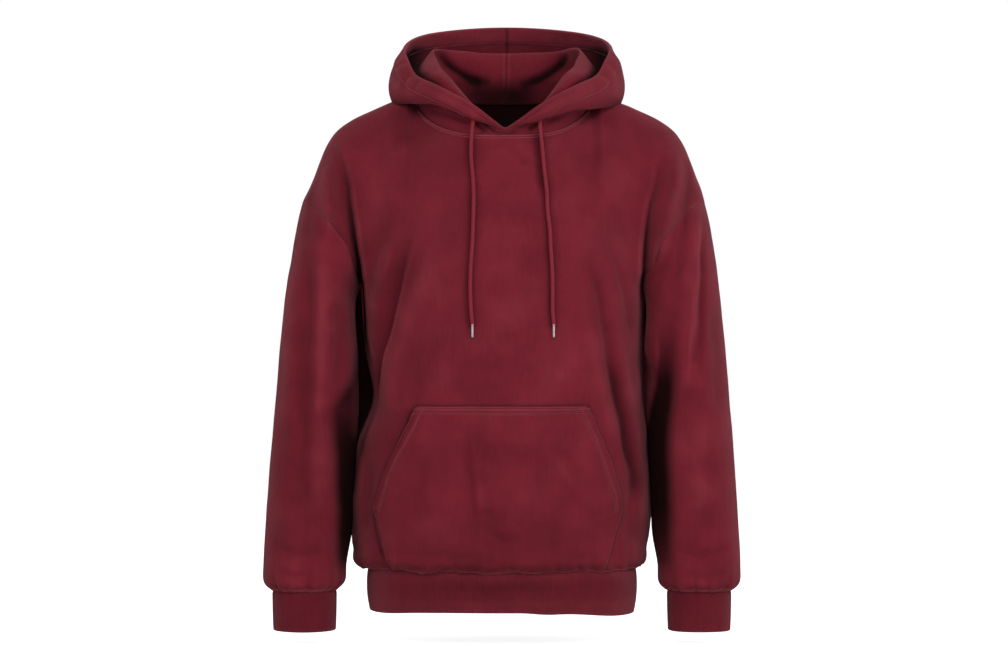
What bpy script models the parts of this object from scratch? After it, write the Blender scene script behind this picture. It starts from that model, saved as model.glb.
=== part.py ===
"""Pullover hoodie, filled out as worn: a fleece body, drop-shoulder sleeves and a hood lying down.

Metres, +Z up, the front facing -Y. The origin is the middle of the neck, level with the shoulders.
Each piece is a sheet of cloth laid through sections, given its thickness by Solidify.
"""

import bpy
import numpy as np

for item in list(bpy.data.objects):
    bpy.data.objects.remove(item, do_unlink=True)

MM = 0.001

# Cloth and trim.
FLEECE = 2.0 * MM
RIB = 2.6 * MM
LABEL = 1.0 * MM
CORD_RADIUS = 2.8 * MM
TIP_RADIUS = 2.5 * MM
TIP_LENGTH = 18 * MM
HALF_SEAM = 0.45 * MM

# Levels.
HEM_BOTTOM = -0.6890
HEM_SEAM = -0.6380
UNDERARM = -0.2480
CUFF_SEAM = -0.6640
CUFF_BOTTOM = -0.7190

# Grid of the sheets.
NECK_CELLS = 5
SHOULDER_CELLS = 7
HIGH_CELLS = 7
SLEEVE_CELLS = 18
LOW_LEVELS = (-0.638, -0.630, -0.615, -0.590, -0.555, -0.510, -0.460, -0.410, -0.355, -0.300, -0.248)
NECK_SHARE = 0.45

# The body, a row for each level from the hem seam up:
# level, half width, front depth, back depth, how far back the side seam is, middle's shift in X,
# and how far the back panel swells out behind the arm.
TORSO = (
    (-0.6380, 0.1830, 0.1170, 0.1130, 0.012, -0.0040, 0.0000),
    (-0.6300, 0.1910, 0.1260, 0.1210, 0.013, -0.0040, 0.0000),
    (-0.6100, 0.1985, 0.1330, 0.1270, 0.015, -0.0042, 0.0010),
    (-0.5660, 0.2030, 0.1370, 0.1300, 0.018, -0.0042, 0.0040),
    (-0.4800, 0.1980, 0.1380, 0.1300, 0.022, -0.0030, 0.0120),
    (-0.3860, 0.1920, 0.1390, 0.1300, 0.026, -0.0015, 0.0160),
    (-0.3100, 0.1910, 0.1400, 0.1305, 0.024, -0.0005, 0.0120),
    (-0.2480, 0.1950, 0.1395, 0.1310, 0.020, 0.0000, 0.0000),
)
SQUARE = 2.35

# Half of the neckline, from the centre to the high point of the shoulder, and the shoulder seam.
FRONT_NECK = (
    (0.000, -0.0880, -0.0480),
    (0.035, -0.0865, -0.0475),
    (0.068, -0.0780, -0.0430),
    (0.096, -0.0550, -0.0300),
    (0.115, -0.0270, -0.0110),
    (0.123, 0.0010, 0.0100),
)
BACK_NECK = (
    (0.000, 0.0780, 0.0040),
    (0.035, 0.0770, 0.0045),
    (0.070, 0.0690, 0.0060),
    (0.100, 0.0490, 0.0085),
    (0.118, 0.0240, 0.0105),
    (0.123, 0.0010, 0.0100),
)
SHOULDER = (
    (0.1230, 0.001, 0.0100),
    (0.1520, 0.003, 0.0010),
    (0.1820, 0.004, -0.0115),
    (0.2100, 0.004, -0.0250),
    (0.2310, 0.004, -0.0410),
    (0.2425, 0.004, -0.0580),
    (0.2515, 0.004, -0.0790),
    (0.2605, 0.004, -0.1030),
    (0.2740, 0.004, -0.1340),
)

# The armhole, from the side seam under the arm to the shoulder's drop point.
FRONT_ARMHOLE = (
    (0.1950, 0.020, -0.2480),
    (0.1985, -0.018, -0.2430),
    (0.2030, -0.047, -0.2250),
    (0.2110, -0.061, -0.1980),
    (0.2290, -0.064, -0.1720),
    (0.2500, -0.050, -0.1500),
    (0.2670, -0.022, -0.1370),
    (0.2740, 0.004, -0.1340),
)
BACK_ARMHOLE = (
    (0.1950, 0.020, -0.2480),
    (0.1990, 0.052, -0.2410),
    (0.2060, 0.078, -0.2180),
    (0.2200, 0.090, -0.1880),
    (0.2420, 0.084, -0.1630),
    (0.2620, 0.050, -0.1430),
    (0.2740, 0.004, -0.1340),
)

# Direction in which the cloth comes up to the seam, and how full it is there, from centre to drop point:
# share across the panel, out, back, up, fullness.
FRONT_RISE = (
    (0.00, 0.00, 0.55, 0.83, 0.90),
    (0.22, -0.10, 0.60, 0.78, 0.90),
    (0.36, -0.22, 0.75, 0.60, 0.85),
    (0.45, -0.22, 0.95, 0.15, 0.80),
    (0.60, 0.00, 1.00, 0.00, 0.85),
    (0.80, 0.00, 1.00, 0.00, 0.75),
    (1.00, 0.00, 1.00, 0.00, 0.45),
)
BACK_RISE = (
    (0.00, 0.00, 0.60, 0.80, 0.90),
    (0.22, -0.10, 0.65, 0.74, 0.90),
    (0.36, -0.22, 0.78, 0.55, 0.85),
    (0.45, -0.22, 0.95, 0.15, 0.80),
    (0.60, 0.00, 1.00, 0.00, 0.85),
    (0.80, 0.00, 1.00, 0.00, 0.75),
    (1.00, 0.00, 1.00, 0.00, 0.45),
)

# The sleeve, a row for each ring from the armhole down:
# outer edge X and Z, inner edge X and Z, half depth, middle in Y, share of the armhole's own shape kept.
SLEEVE = (
    (0.2740, -0.1340, 0.1985, -0.2480, 0.0760, 0.014, 1.00),
    (0.2810, -0.1620, 0.2045, -0.2640, 0.0770, 0.011, 0.70),
    (0.2880, -0.1980, 0.2060, -0.2830, 0.0765, 0.006, 0.40),
    (0.2950, -0.2420, 0.2045, -0.3090, 0.0755, 0.000, 0.15),
    (0.3010, -0.2930, 0.2020, -0.3400, 0.0740, -0.005, 0.00),
    (0.3070, -0.3500, 0.2000, -0.3770, 0.0720, -0.010, 0.00),
    (0.3120, -0.4100, 0.1990, -0.4220, 0.0700, -0.014, 0.00),
    (0.3165, -0.4700, 0.2030, -0.4730, 0.0675, -0.018, 0.00),
    (0.3200, -0.5300, 0.2085, -0.5300, 0.0650, -0.021, 0.00),
    (0.3230, -0.5850, 0.2145, -0.5840, 0.0620, -0.024, 0.00),
    (0.3245, -0.6270, 0.2190, -0.6260, 0.0580, -0.026, 0.00),
    (0.3235, -0.6480, 0.2205, -0.6475, 0.0540, -0.027, 0.00),
    (0.3150, -0.6640, 0.2290, -0.6640, 0.0445, -0.027, 0.00),
)
CUFF_HALF_WIDTH = 0.0420
CUFF_HALF_DEPTH = 0.0415
CUFF_MIDDLE = (0.2715, -0.027)
LEFT_SLEEVE_LEAN = -0.0060

# The hood lying down, a row for each bearing round the neck from the front (0) to the centre back (180):
# bearing, then reach and level of the inner wall, the fold's inner and outer edge, the wall behind it,
# the pouch's inner and outer bottom, the outer wall and the rim.
HOOD = (
    (0, 0.0896, -0.0446, 0.0910, -0.0430, 0.0917, -0.0422, 0.0922, -0.0416,
     0.0927, -0.0410, 0.0931, -0.0405, 0.0936, -0.0400, 0.0942, -0.0392),
    (8, 0.0900, -0.0425, 0.0915, -0.0388, 0.0928, -0.0372, 0.0938, -0.0364,
     0.0947, -0.0358, 0.0957, -0.0350, 0.0968, -0.0335, 0.0976, -0.0308),
    (25, 0.0950, -0.0300, 0.0962, -0.0145, 0.1005, -0.0125, 0.1028, -0.0220,
     0.1052, -0.0300, 0.1095, -0.0312, 0.1130, -0.0215, 0.1108, -0.0085),
    (50, 0.1065, 0.0000, 0.1045, 0.0335, 0.1150, 0.0300, 0.1185, 0.0100,
     0.1215, -0.0105, 0.1280, -0.0130, 0.1335, 0.0020, 0.1280, 0.0195),
    (80, 0.1130, 0.0270, 0.0980, 0.0570, 0.1260, 0.0450, 0.1325, 0.0260,
     0.1400, 0.0105, 0.1520, 0.0080, 0.1600, 0.0240, 0.1470, 0.0560),
    (110, 0.1165, 0.0420, 0.1100, 0.0757, 0.1230, 0.0720, 0.1370, 0.0300,
     0.1460, 0.0080, 0.1580, 0.0050, 0.1650, 0.0300, 0.1590, 0.0700),
    (145, 0.1000, 0.0400, 0.1110, 0.0770, 0.1240, 0.0735, 0.1380, 0.0100,
     0.1500, -0.0520, 0.1680, -0.0560, 0.1780, 0.0300, 0.1650, 0.1050),
    (180, 0.0880, 0.0400, 0.1060, 0.0755, 0.1180, 0.0725, 0.1380, -0.0100,
     0.1520, -0.0860, 0.1750, -0.0900, 0.1870, 0.0200, 0.1720, 0.1180),
)
HOOD_SPANS = (2, 2, 2, 2, 2, 2, 2, 3)
HOOD_BEARINGS = (8, 16, 25, 36, 48, 62, 78, 94, 110, 127, 145, 163, 180)
NECK_GAP = 2.9 * MM

# The kangaroo pocket: level, half width, shift in X, and how far it stands off at the middle and the edge.
POCKET = (
    (-0.6350, 0.1450, -0.0080, 3.3, 4.3),
    (-0.6280, 0.1470, -0.0080, 4.0, 4.0),
    (-0.6100, 0.1510, -0.0080, 7.0, 3.4),
    (-0.5620, 0.1640, -0.0070, 9.0, 3.4),
    (-0.5500, 0.1640, -0.0065, 9.0, 12.0),
    (-0.5100, 0.1505, -0.0050, 9.0, 14.5),
    (-0.4650, 0.1340, -0.0035, 8.5, 14.0),
    (-0.4230, 0.1190, -0.0020, 5.5, 10.0),
    (-0.4110, 0.1150, -0.0020, 3.4, 3.4),
)

# The largest folds, as troughs (inward) or ridges (outward) along a line seen from the front or back:
# panel, X and Z of each end, half width, depth (inward positive), in metres.
FOLDS = (
    ("front", -0.1150, -0.195, -0.1480, -0.320, 0.0170, 0.0050),
    ("front", 0.1050, -0.240, 0.1440, -0.460, 0.0170, 0.0060),
    ("front", 0.1330, -0.230, 0.1660, -0.400, 0.0160, -0.0040),
    ("back", -0.0900, -0.330, -0.1500, -0.520, 0.0220, 0.0060),
    ("back", 0.0800, -0.350, 0.1450, -0.540, 0.0220, 0.0060),
)

# The folds where the arm hangs: panel, side in X, share across the panel at the underarm and at the
# shoulder, half width as a share, depth.
ARM_FOLDS = (
    ("front", -1, 0.900, 0.720, 0.085, 0.0080),
    ("front", 1, 0.900, 0.720, 0.085, 0.0080),
    ("back", -1, 0.840, 0.720, 0.090, 0.0060),
    ("back", 1, 0.840, 0.720, 0.090, 0.0060),
)


def hermite(knots, rows, at):
    """Rows of numbers on a smooth curve through the given rows, which stand at the knots."""
    knots = np.asarray(knots, float)
    rows = np.asarray(rows, float)
    at = np.clip(np.asarray(at, float), knots[0], knots[-1])
    slopes = np.gradient(rows, knots, axis=0)
    k = np.clip(np.searchsorted(knots, at, side="right") - 1, 0, len(knots) - 2)
    span = (knots[k + 1] - knots[k])[:, None]
    t = ((at - knots[k])[:, None]) / span
    return (
        (2 * t**3 - 3 * t**2 + 1) * rows[k]
        + (t**3 - 2 * t**2 + t) * span * slopes[k]
        + (3 * t**2 - 2 * t**3) * rows[k + 1]
        + (t**3 - t**2) * span * slopes[k + 1]
    )


def along(points, shares):
    """Points of a smooth line through the given points, at these shares of its length."""
    points = np.asarray(points, float)
    steps = np.linalg.norm(np.diff(points, axis=0), axis=1)
    knots = np.concatenate([[0.0], np.cumsum(steps)]) / steps.sum()
    return hermite(knots, points, shares)


def smooth(x):
    x = np.clip(x, 0.0, 1.0)
    return x * x * (3 - 2 * x)


def panel_grid(front, half_shares, levels, high_shares):
    """The +X half of a body panel: rows from the hem seam to the neck and shoulder, columns to the side."""
    face = -1.0 if front else 1.0
    gap = np.array([0.0, face * HALF_SEAM, 0.0])
    u = np.asarray(half_shares, float)
    table = np.array(TORSO)
    sizes = hermite(table[:, 0], table[:, 1:], levels)
    sine = np.sin(u * np.pi / 2) ** (2 / SQUARE)
    cosine = np.maximum(np.cos(u * np.pi / 2), 0.0) ** (2 / SQUARE)
    rows = []
    swell = smooth((u - 0.55) / 0.33) * smooth((1 - u) / 0.10) * (not front)
    for level, (wide, ahead, behind, seam, _, out) in zip(levels, sizes):
        seam = seam + face * HALF_SEAM
        deep = -ahead if front else behind
        reach = wide * sine + out * swell
        rows.append(np.stack([reach, seam + (deep - seam) * cosine, np.full_like(u, level)], axis=1))
    chest = rows[-1]
    neck_u = np.clip(u / NECK_SHARE, 0, 1)
    arm_u = np.clip((u - NECK_SHARE) / (1 - NECK_SHARE), 0, 1)
    neck = along(FRONT_NECK if front else BACK_NECK, neck_u)
    shoulder = along(SHOULDER, arm_u) + gap
    top = np.where((u < NECK_SHARE - 1e-6)[:, None], neck, shoulder)
    rise = np.array(FRONT_RISE if front else BACK_RISE)
    lean = hermite(rise[:, 0], rise[:, 1:], u)
    way = lean[:, :3] * np.array([1.0, -face, 1.0])
    way /= np.linalg.norm(way, axis=1)[:, None]
    length = np.linalg.norm(top - chest, axis=1)[:, None]
    start = length * np.array([0.0, 0.0, 1.0])
    end = way * length * lean[:, 3:4]
    edge = along(FRONT_ARMHOLE if front else BACK_ARMHOLE, high_shares) + gap
    pull = smooth((u - 0.55) / 0.45)[:, None]
    for t, seam_point in zip(high_shares[1:], edge[1:]):
        row = (
            (2 * t**3 - 3 * t**2 + 1) * chest
            + (t**3 - 2 * t**2 + t) * start
            + (3 * t**2 - 2 * t**3) * top
            + (t**3 - t**2) * end
        )
        rows.append(row + pull * (seam_point - row[-1]))
    return np.array(rows)


def normals(grid):
    """Unit normals of a grid of points, turned so that column x row points outward for these panels."""
    across = np.gradient(grid, axis=1)
    up = np.gradient(grid, axis=0)
    found = np.cross(across, up)
    return found / np.maximum(np.linalg.norm(found, axis=2)[:, :, None], 1e-12)


def fold_depth(grid, name, folds):
    """How far each point of a panel is pressed in by the folds on it."""
    depth = np.zeros(grid.shape[:2])
    for panel, x0, z0, x1, z1, half, deep in folds:
        if panel != name:
            continue
        start = np.array([x0, z0])
        line = np.array([x1, z1]) - start
        span = np.linalg.norm(line)
        flat = grid[:, :, [0, 2]] - start
        share = flat @ line / span**2
        off = np.abs(flat[:, :, 0] * line[1] - flat[:, :, 1] * line[0]) / span
        ends = smooth(share / 0.25 + 0.3) * smooth((1 - share) / 0.25 + 0.3)
        depth += deep * ends * np.exp(-((off / half) ** 2))
    return depth


def body_panel(front):
    """A whole body panel, from its left to its right side seam, with its folds."""
    neck = np.linspace(0, NECK_SHARE, NECK_CELLS + 1)
    side = np.linspace(NECK_SHARE, 1, SHOULDER_CELLS + 1)[1:]
    high = np.linspace(0, 1, HIGH_CELLS + 1)
    half = panel_grid(front, np.concatenate([neck, side]), LOW_LEVELS, high)
    grid = np.concatenate([half[:, :0:-1] * [-1, 1, 1], half], axis=1)
    table = np.array(TORSO)
    shift = hermite(table[:, 0], table[:, 5:6], grid[:, 0, 2])[:, 0]
    out = normals(grid) * (1.0 if front else -1.0)
    fade = smooth((np.arange(len(grid))) / 2.0) * smooth((len(grid) - 1 - np.arange(len(grid))) / 2.0)
    sides = smooth(np.minimum(np.arange(grid.shape[1]), np.arange(grid.shape[1])[::-1]) / 3.0)
    name = "front" if front else "back"
    press = fold_depth(grid, name, FOLDS) * fade[:, None] * sides[None, :]
    across = np.concatenate([-np.concatenate([neck, side])[:0:-1], neck, side])
    rise = np.concatenate([np.zeros(len(LOW_LEVELS)), high[1:]])
    for panel, turn, low, top, half_wide, deep in ARM_FOLDS:
        if panel == name:
            off = (across[None, :] * turn - (low + (top - low) * rise[:, None])) / half_wide
            ends = smooth(rise / 0.3) * smooth((1 - rise) / 0.3)
            press += deep * np.exp(-(off**2)) * ends[:, None] * sides[None, :] ** 0.5
    grid = grid - out * press[:, :, None]
    grid[: len(LOW_LEVELS), :, 0] += shift[: len(LOW_LEVELS), None]
    return grid


def sleeve_grid(side):
    """Rings of a sleeve from the armhole to the cuff seam, for side +1 or -1 in X."""
    half = SLEEVE_CELLS // 2
    shares = np.linspace(0, 1, half + 1)
    fore = along(FRONT_ARMHOLE[::-1], shares)
    aft = along(BACK_ARMHOLE, shares)
    hole = np.concatenate([fore[:-1], aft[:-1]])
    turn = np.arange(SLEEVE_CELLS) / SLEEVE_CELLS * 2 * np.pi
    rings = []
    for out_x, out_z, in_x, in_z, deep, middle, _ in SLEEVE:
        centre = np.array([(out_x + in_x) / 2, middle, (out_z + in_z) / 2])
        reach = np.array([(out_x - in_x) / 2, 0.0, (out_z - in_z) / 2])
        ring = centre + np.cos(turn)[:, None] * reach
        ring[:, 1] -= deep * np.sin(turn)
        rings.append(ring)
    own = hole - rings[0]
    rings = [ring + own * row[6] for ring, row in zip(rings, SLEEVE)]
    under = ((1 - np.cos(turn)) / 2)[:, None] ** 2
    way = rings[1] - rings[0]
    way /= np.linalg.norm(way, axis=1)[:, None]
    way = way * (1 - under) + np.array([1.0, 0.0, 0.1]) * under
    rings[0] = rings[0] + way * (1.8 + 1.9 * under) * MM
    grid = np.array(rings)
    if side > 0:
        drop = (grid[:, :, 2] - grid[0, :, 2].max()) / (CUFF_SEAM - grid[0, :, 2].max())
        grid[:, :, 0] += LEFT_SLEEVE_LEAN * smooth(drop)
    return grid * [side, 1, 1]


def ring_wall(middle, half_x, half_y, levels, square, count):
    """Rings of an upright tube: half_x and half_y hold a number for each level."""
    turn = np.arange(count) / count * 2 * np.pi
    cos = np.sign(np.cos(turn)) * np.abs(np.cos(turn)) ** (2 / square)
    sin = np.sign(np.sin(turn)) * np.abs(np.sin(turn)) ** (2 / square)
    rows = []
    for wide, deep, level in zip(half_x, half_y, levels):
        rows.append(np.stack([middle[0] + wide * cos, middle[1] - deep * sin, np.full(count, level)], axis=1))
    return np.array(rows)


def sheet(name, grid, thickness, slot, loop=False, flip=False):
    """A grid of points as a sheet of cloth of this thickness, joined across when it is a tube."""
    rows, columns = grid.shape[:2]
    cells = columns if loop else columns - 1
    faces = []
    for i in range(rows - 1):
        for j in range(cells):
            k = (j + 1) % columns
            face = (i * columns + j, i * columns + k, (i + 1) * columns + k, (i + 1) * columns + j)
            if not loop and 2 * j >= cells:
                face = face[1:] + face[:1]
            faces.append(face[::-1] if flip else face)
    mesh = bpy.data.meshes.new(name)
    mesh.from_pydata([tuple(p) for p in grid.reshape(-1, 3)], [], faces)
    mesh.update()
    piece = bpy.data.objects.new(name, mesh)
    cloth = piece.modifiers.new("cloth", "SOLIDIFY")
    cloth.thickness = thickness
    cloth.offset = 0.0
    cloth.use_quality_normals = True
    mesh.materials.append(material(slot))
    group.objects.link(piece)
    return piece


def material(slot):
    """The Principled material of a slot, made at its first use."""
    found = bpy.data.materials.get(slot)
    if found:
        return found
    colour, rough, metal = COLOURS[slot]
    found = bpy.data.materials.new(slot)
    found.use_nodes = True
    shader = found.node_tree.nodes["Principled BSDF"]
    shader.inputs["Base Color"].default_value = (*colour, 1.0)
    shader.inputs["Roughness"].default_value = rough
    shader.inputs["Metallic"].default_value = metal
    return found


COLOURS = {
    "burgundy_fleece": ((0.140, 0.017, 0.030), 0.95, 0.0),
    "burgundy_rib": ((0.130, 0.016, 0.028), 0.95, 0.0),
    "burgundy_cord": ((0.150, 0.019, 0.033), 0.9, 0.0),
    "metal_tip": ((0.72, 0.72, 0.73), 0.3, 1.0),
    "black_label": ((0.012, 0.010, 0.011), 0.8, 0.0),
}

group = bpy.data.collections.new("pullover_hoodie")
bpy.context.scene.collection.children.link(group)


def panel_point(grid, x, z):
    """The point of a front or back panel at this X and Z, found on its flat cells, with its normal."""
    best = None
    rows, columns = grid.shape[:2]
    for i in range(rows - 1):
        for j in range(columns - 1):
            corners = grid[i : i + 2, j : j + 2]
            low = corners.reshape(4, 3).min(axis=0)
            high = corners.reshape(4, 3).max(axis=0)
            if not (low[0] - 1e-6 <= x <= high[0] + 1e-6 and low[2] - 1e-6 <= z <= high[2] + 1e-6):
                continue
            s, t = 0.5, 0.5
            for _ in range(12):
                bottom = corners[0, 0] * (1 - s) + corners[0, 1] * s
                above = corners[1, 0] * (1 - s) + corners[1, 1] * s
                spot = bottom * (1 - t) + above * t
                ds = (corners[0, 1] - corners[0, 0]) * (1 - t) + (corners[1, 1] - corners[1, 0]) * t
                dt = above - bottom
                short = np.array([x - spot[0], z - spot[2]])
                across = np.array([[ds[0], dt[0]], [ds[2], dt[2]]])
                step = np.linalg.solve(across + np.eye(2) * 1e-12, short)
                s, t = s + step[0], t + step[1]
            off = max(-s, s - 1, -t, t - 1, 0)
            if best is None or off < best[0]:
                normal = np.cross(ds, dt)
                best = (off, spot, normal / np.linalg.norm(normal))
    return best[1], best[2]


def hood_half(side, over):
    """Half of the hood, its neck edge along the neckline and its last column at the centre back."""
    first = -6.0 if over else -1.5
    bearings = np.concatenate([[first, 0.5 * (first + HOOD_BEARINGS[0])], HOOD_BEARINGS])
    table = np.array(HOOD)
    mirrored = np.concatenate([table[2:0:-1] * np.where(np.arange(17) == 0, -1, 1), table])
    edges = hermite(mirrored[:, 0], mirrored[:, 1:], bearings).reshape(len(bearings), 8, 2)
    fore = along(FRONT_NECK, np.linspace(0, 1, 90))
    aft = along(BACK_NECK[::-1], np.linspace(0, 1, 90))
    line = np.concatenate([fore * [1, 1, 1], aft[1:]])
    angle = np.degrees(np.arctan2(line[:, 0], -line[:, 1]))
    reach = np.hypot(line[:, 0], line[:, 1])
    neck_r = np.interp(np.abs(bearings), angle, reach) - 0.5 * MM
    neck_z = np.interp(np.abs(bearings), angle, line[:, 2]) + NECK_GAP
    start = np.stack([neck_r, neck_z], axis=1)[:, None, :]
    edges = np.concatenate([start, edges], axis=1)
    lift = smooth((22 - bearings) / 16) * (3.5 * MM if over else -1.5 * MM)
    edges[:, :, 0] += lift[:, None]
    columns = []
    for bearing, section in zip(bearings, edges):
        steps = np.linalg.norm(np.diff(section, axis=0), axis=1)
        knots = np.concatenate([[0.0], np.cumsum(steps)])
        at = [0.0]
        for k, cells in enumerate(HOOD_SPANS):
            at += list(knots[k] + (knots[k + 1] - knots[k]) * np.arange(1, cells + 1) / cells)
        shape = hermite(knots, section, at)
        turn = np.radians(bearing)
        columns.append(np.stack([shape[:, 0] * np.sin(turn), -shape[:, 0] * np.cos(turn), shape[:, 1]], axis=1))
    grid = np.stack(columns, axis=1)
    grid[:, -1, 0] = 0.55 * MM
    return grid * [side, 1, 1]


def pocket_grid(panel):
    """The pocket, from the front panel's points moved out."""
    table = np.array(POCKET)
    levels = (-0.635, -0.630, -0.615, -0.590, -0.562, -0.550, -0.530, -0.510, -0.485, -0.460, -0.435, -0.411)
    rows = []
    for level in levels:
        wide = np.interp(level, table[:, 0], table[:, 1])
        shift, middle, edge = (np.interp(level, table[:, 0], table[:, k]) for k in (2, 3, 4))
        row = []
        for share in np.linspace(-1, 1, 11):
            spot, out = panel_point(panel, shift + wide * share, level)
            away = middle + (edge - middle) * abs(share) ** 3
            row.append(spot + out * away * MM)
        rows.append(row)
    return np.array(rows)


def cord(name, points, radius, slot):
    curve = bpy.data.curves.new(name, "CURVE")
    curve.dimensions = "3D"
    curve.bevel_depth = radius
    curve.bevel_resolution = 2
    curve.use_fill_caps = True
    line = curve.splines.new("POLY")
    line.points.add(len(points) - 1)
    for point, place in zip(line.points, points):
        point.co = (*place, 1.0)
    curve.materials.append(material(slot))
    piece = bpy.data.objects.new(name, curve)
    group.objects.link(piece)
    return piece


# Cord paths on the chest: X at the eyelet, part way and at the tip, and the level of the cord's end.
CORDS = (
    ("right", (-0.0455, -0.0440, -0.0425, -0.0410), -0.5110 + 0.2),
    ("left", (0.0440, 0.0500, 0.0590, 0.0680), -0.5110 + 0.2),
)


def cord_path(panel, xs, end):
    """A cord's middle line: out from under the hood, then down just clear of the front panel."""
    top = -0.0400
    levels = np.linspace(top, end, 19)
    points = []
    for level in levels:
        share = (level - top) / (end - top)
        x = np.interp(share, (0, 0.35, 0.7, 1), xs)
        if level > -0.06:
            spot, out = panel_point(panel, x, -0.06)
            spot = spot + (level + 0.06) * np.array([0, 0.25, 1.0])
        else:
            spot, out = panel_point(panel, x, level)
        points.append(spot + np.array([0, -1, 0]) * (FLEECE / 2 + CORD_RADIUS + 1.2 * MM))
    return points


front = body_panel(True)
back = body_panel(False)
sheet("front_panel", front, FLEECE, "burgundy_fleece")
sheet("back_panel", back, FLEECE, "burgundy_fleece", flip=True)
sheet("sleeve_left", sleeve_grid(1), FLEECE, "burgundy_fleece", loop=True, flip=True)
sheet("sleeve_right", sleeve_grid(-1), FLEECE, "burgundy_fleece", loop=True)

for name, side in (("cuff_left", 1), ("cuff_right", -1)):
    lean = LEFT_SLEEVE_LEAN if side > 0 else 0.0
    middle = ((CUFF_MIDDLE[0] + lean) * side, CUFF_MIDDLE[1])
    levels = (CUFF_SEAM - 1.0 * MM, -0.6900, CUFF_BOTTOM)
    wide = [CUFF_HALF_WIDTH + extra * MM for extra in (0.6, 0.0, -0.4)]
    deep = [CUFF_HALF_DEPTH + extra * MM for extra in (1.5, 0.0, -0.4)]
    sheet(name, ring_wall(middle, wide, deep, levels, 2.2, 18), RIB, "burgundy_rib", loop=True)

hem = TORSO[0]
hem_y = (hem[3] - hem[2]) / 2
levels = (HEM_SEAM - 1.1 * MM, -0.6650, HEM_BOTTOM)
wide = [hem[1] + extra * MM for extra in (-0.3, 0.0, -2.0)]
deep = [(hem[2] + hem[3]) / 2 + extra * MM for extra in (-0.3, -0.5, -2.0)]
sheet("hem_band", ring_wall((hem[5], hem_y), wide, deep, levels, SQUARE, 44), RIB, "burgundy_rib", loop=True)

sheet("hood_right", hood_half(-1, True), FLEECE, "burgundy_fleece", flip=True)
sheet("hood_left", hood_half(1, False), FLEECE, "burgundy_fleece")
sheet("pocket", pocket_grid(front), FLEECE, "burgundy_fleece")

for side, xs, end in CORDS:
    path = cord_path(front, xs, end)
    cord("drawcord_" + side, path, CORD_RADIUS, "burgundy_cord")
    down = np.array([0.0, 0.0, -1.0])
    tip = [path[-1] + down * 0.3 * MM, path[-1] + down * TIP_LENGTH]
    cord("cord_tip_" + side, tip, TIP_RADIUS, "metal_tip")

label = []
for level in (-0.0420, -0.0300, -0.0180):
    row = []
    for x in np.linspace(-0.026, 0.026, 5):
        spot, out = panel_point(back, x, level)
        row.append(spot + np.array([0, -1.0, 0]) * 2.1 * MM)
    label.append(row)
sheet("neck_label", np.array(label), LABEL, "black_label")
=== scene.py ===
# %% [markdown]
# # A pullover hoodie, filled out as worn
# This notebook dresses a rigid model of a hooded fleece pullover. The rigid model says where each cut piece
# of cloth is. Here each piece is made again as a thin, finely divided sheet with its folds, seams and stitches.
# We load the rigid model first, because every piece below rides on it and takes its size from it.

import math

import bpy
import numpy as np
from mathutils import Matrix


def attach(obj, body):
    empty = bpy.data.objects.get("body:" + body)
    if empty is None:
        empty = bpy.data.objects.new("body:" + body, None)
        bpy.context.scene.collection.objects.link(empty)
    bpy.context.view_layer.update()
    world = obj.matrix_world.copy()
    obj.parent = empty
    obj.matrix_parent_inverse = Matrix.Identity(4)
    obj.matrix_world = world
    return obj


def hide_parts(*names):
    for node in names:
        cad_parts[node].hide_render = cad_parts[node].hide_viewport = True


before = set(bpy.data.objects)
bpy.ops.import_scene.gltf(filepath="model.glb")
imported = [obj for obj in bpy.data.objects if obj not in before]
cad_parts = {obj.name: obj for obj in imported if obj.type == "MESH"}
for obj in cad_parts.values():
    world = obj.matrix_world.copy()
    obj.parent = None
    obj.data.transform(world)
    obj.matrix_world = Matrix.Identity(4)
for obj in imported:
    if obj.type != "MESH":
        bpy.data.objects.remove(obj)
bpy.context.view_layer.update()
print("pieces in the rigid model:", len(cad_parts))

# %% [markdown]
# ## The studio
# The garment stands in front of a white sweep, lit softly from the front. A long lens from 4.5 m away keeps the
# sleeves and body in nearly true proportion. The shift moves the frame a little without tilting the camera, which
# would make the sides lean.

# %% Camera
def show(name, data):
    """A new object in the scene that holds this camera, lamp or mesh."""
    thing = bpy.data.objects.new(name, data)
    bpy.context.scene.collection.objects.link(thing)
    return thing


camera_distance = 4.5
frame_width = 1.381  # how much of the world the frame takes in, at the garment
sensor_width = 36.0
camera_lens = bpy.data.cameras.new("studio_camera")
camera_lens.sensor_width = sensor_width
camera_lens.lens = sensor_width * camera_distance / frame_width
camera_lens.shift_y = -0.0192 / frame_width
camera = show("studio_camera", camera_lens)
camera.location = (0.0007, -camera_distance, -0.300)
camera.rotation_euler = (math.radians(90), 0, 0)
bpy.context.scene.camera = camera
bpy.context.scene.view_settings.view_transform = "Standard"
print("lens, mm:", round(camera_lens.lens, 1))

# %% [markdown]
# A node tree is easier to read when each node is one short line. This helper adds a node, makes its choices, and
# feeds each socket that is named either a plain value or another node's output. A second one multiplies two
# colours, which every dye and every shade below needs.

# %% Node helpers
def add_node(tree, kind, inputs=None, **choices):
    """A new shader node. inputs: socket name or number, then a value or another node's output."""
    node = tree.nodes.new("ShaderNode" + kind)
    for name, value in choices.items():
        setattr(node, name, value)
    for socket, value in (inputs or {}).items():
        if isinstance(value, bpy.types.NodeSocket):
            tree.links.new(value, node.inputs[socket])
        else:
            node.inputs[socket].default_value = value
    return node


def multiply(tree, first, second):
    product = add_node(tree, "Mix", {"Factor": 1.0, "A": first, "B": second}, data_type="RGBA",
                       blend_type="MULTIPLY")
    return product.outputs["Result"]


def empty_tree(owner):
    owner.use_nodes = True
    owner.node_tree.nodes.clear()
    return owner.node_tree


# %% [markdown]
# The backdrop is white to the camera and to mirrors, but it lights the cloth only gently. Light Path tells the
# two apart: for a camera ray the world is plain white, and for every other ray it is a soft grey sky.

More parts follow.
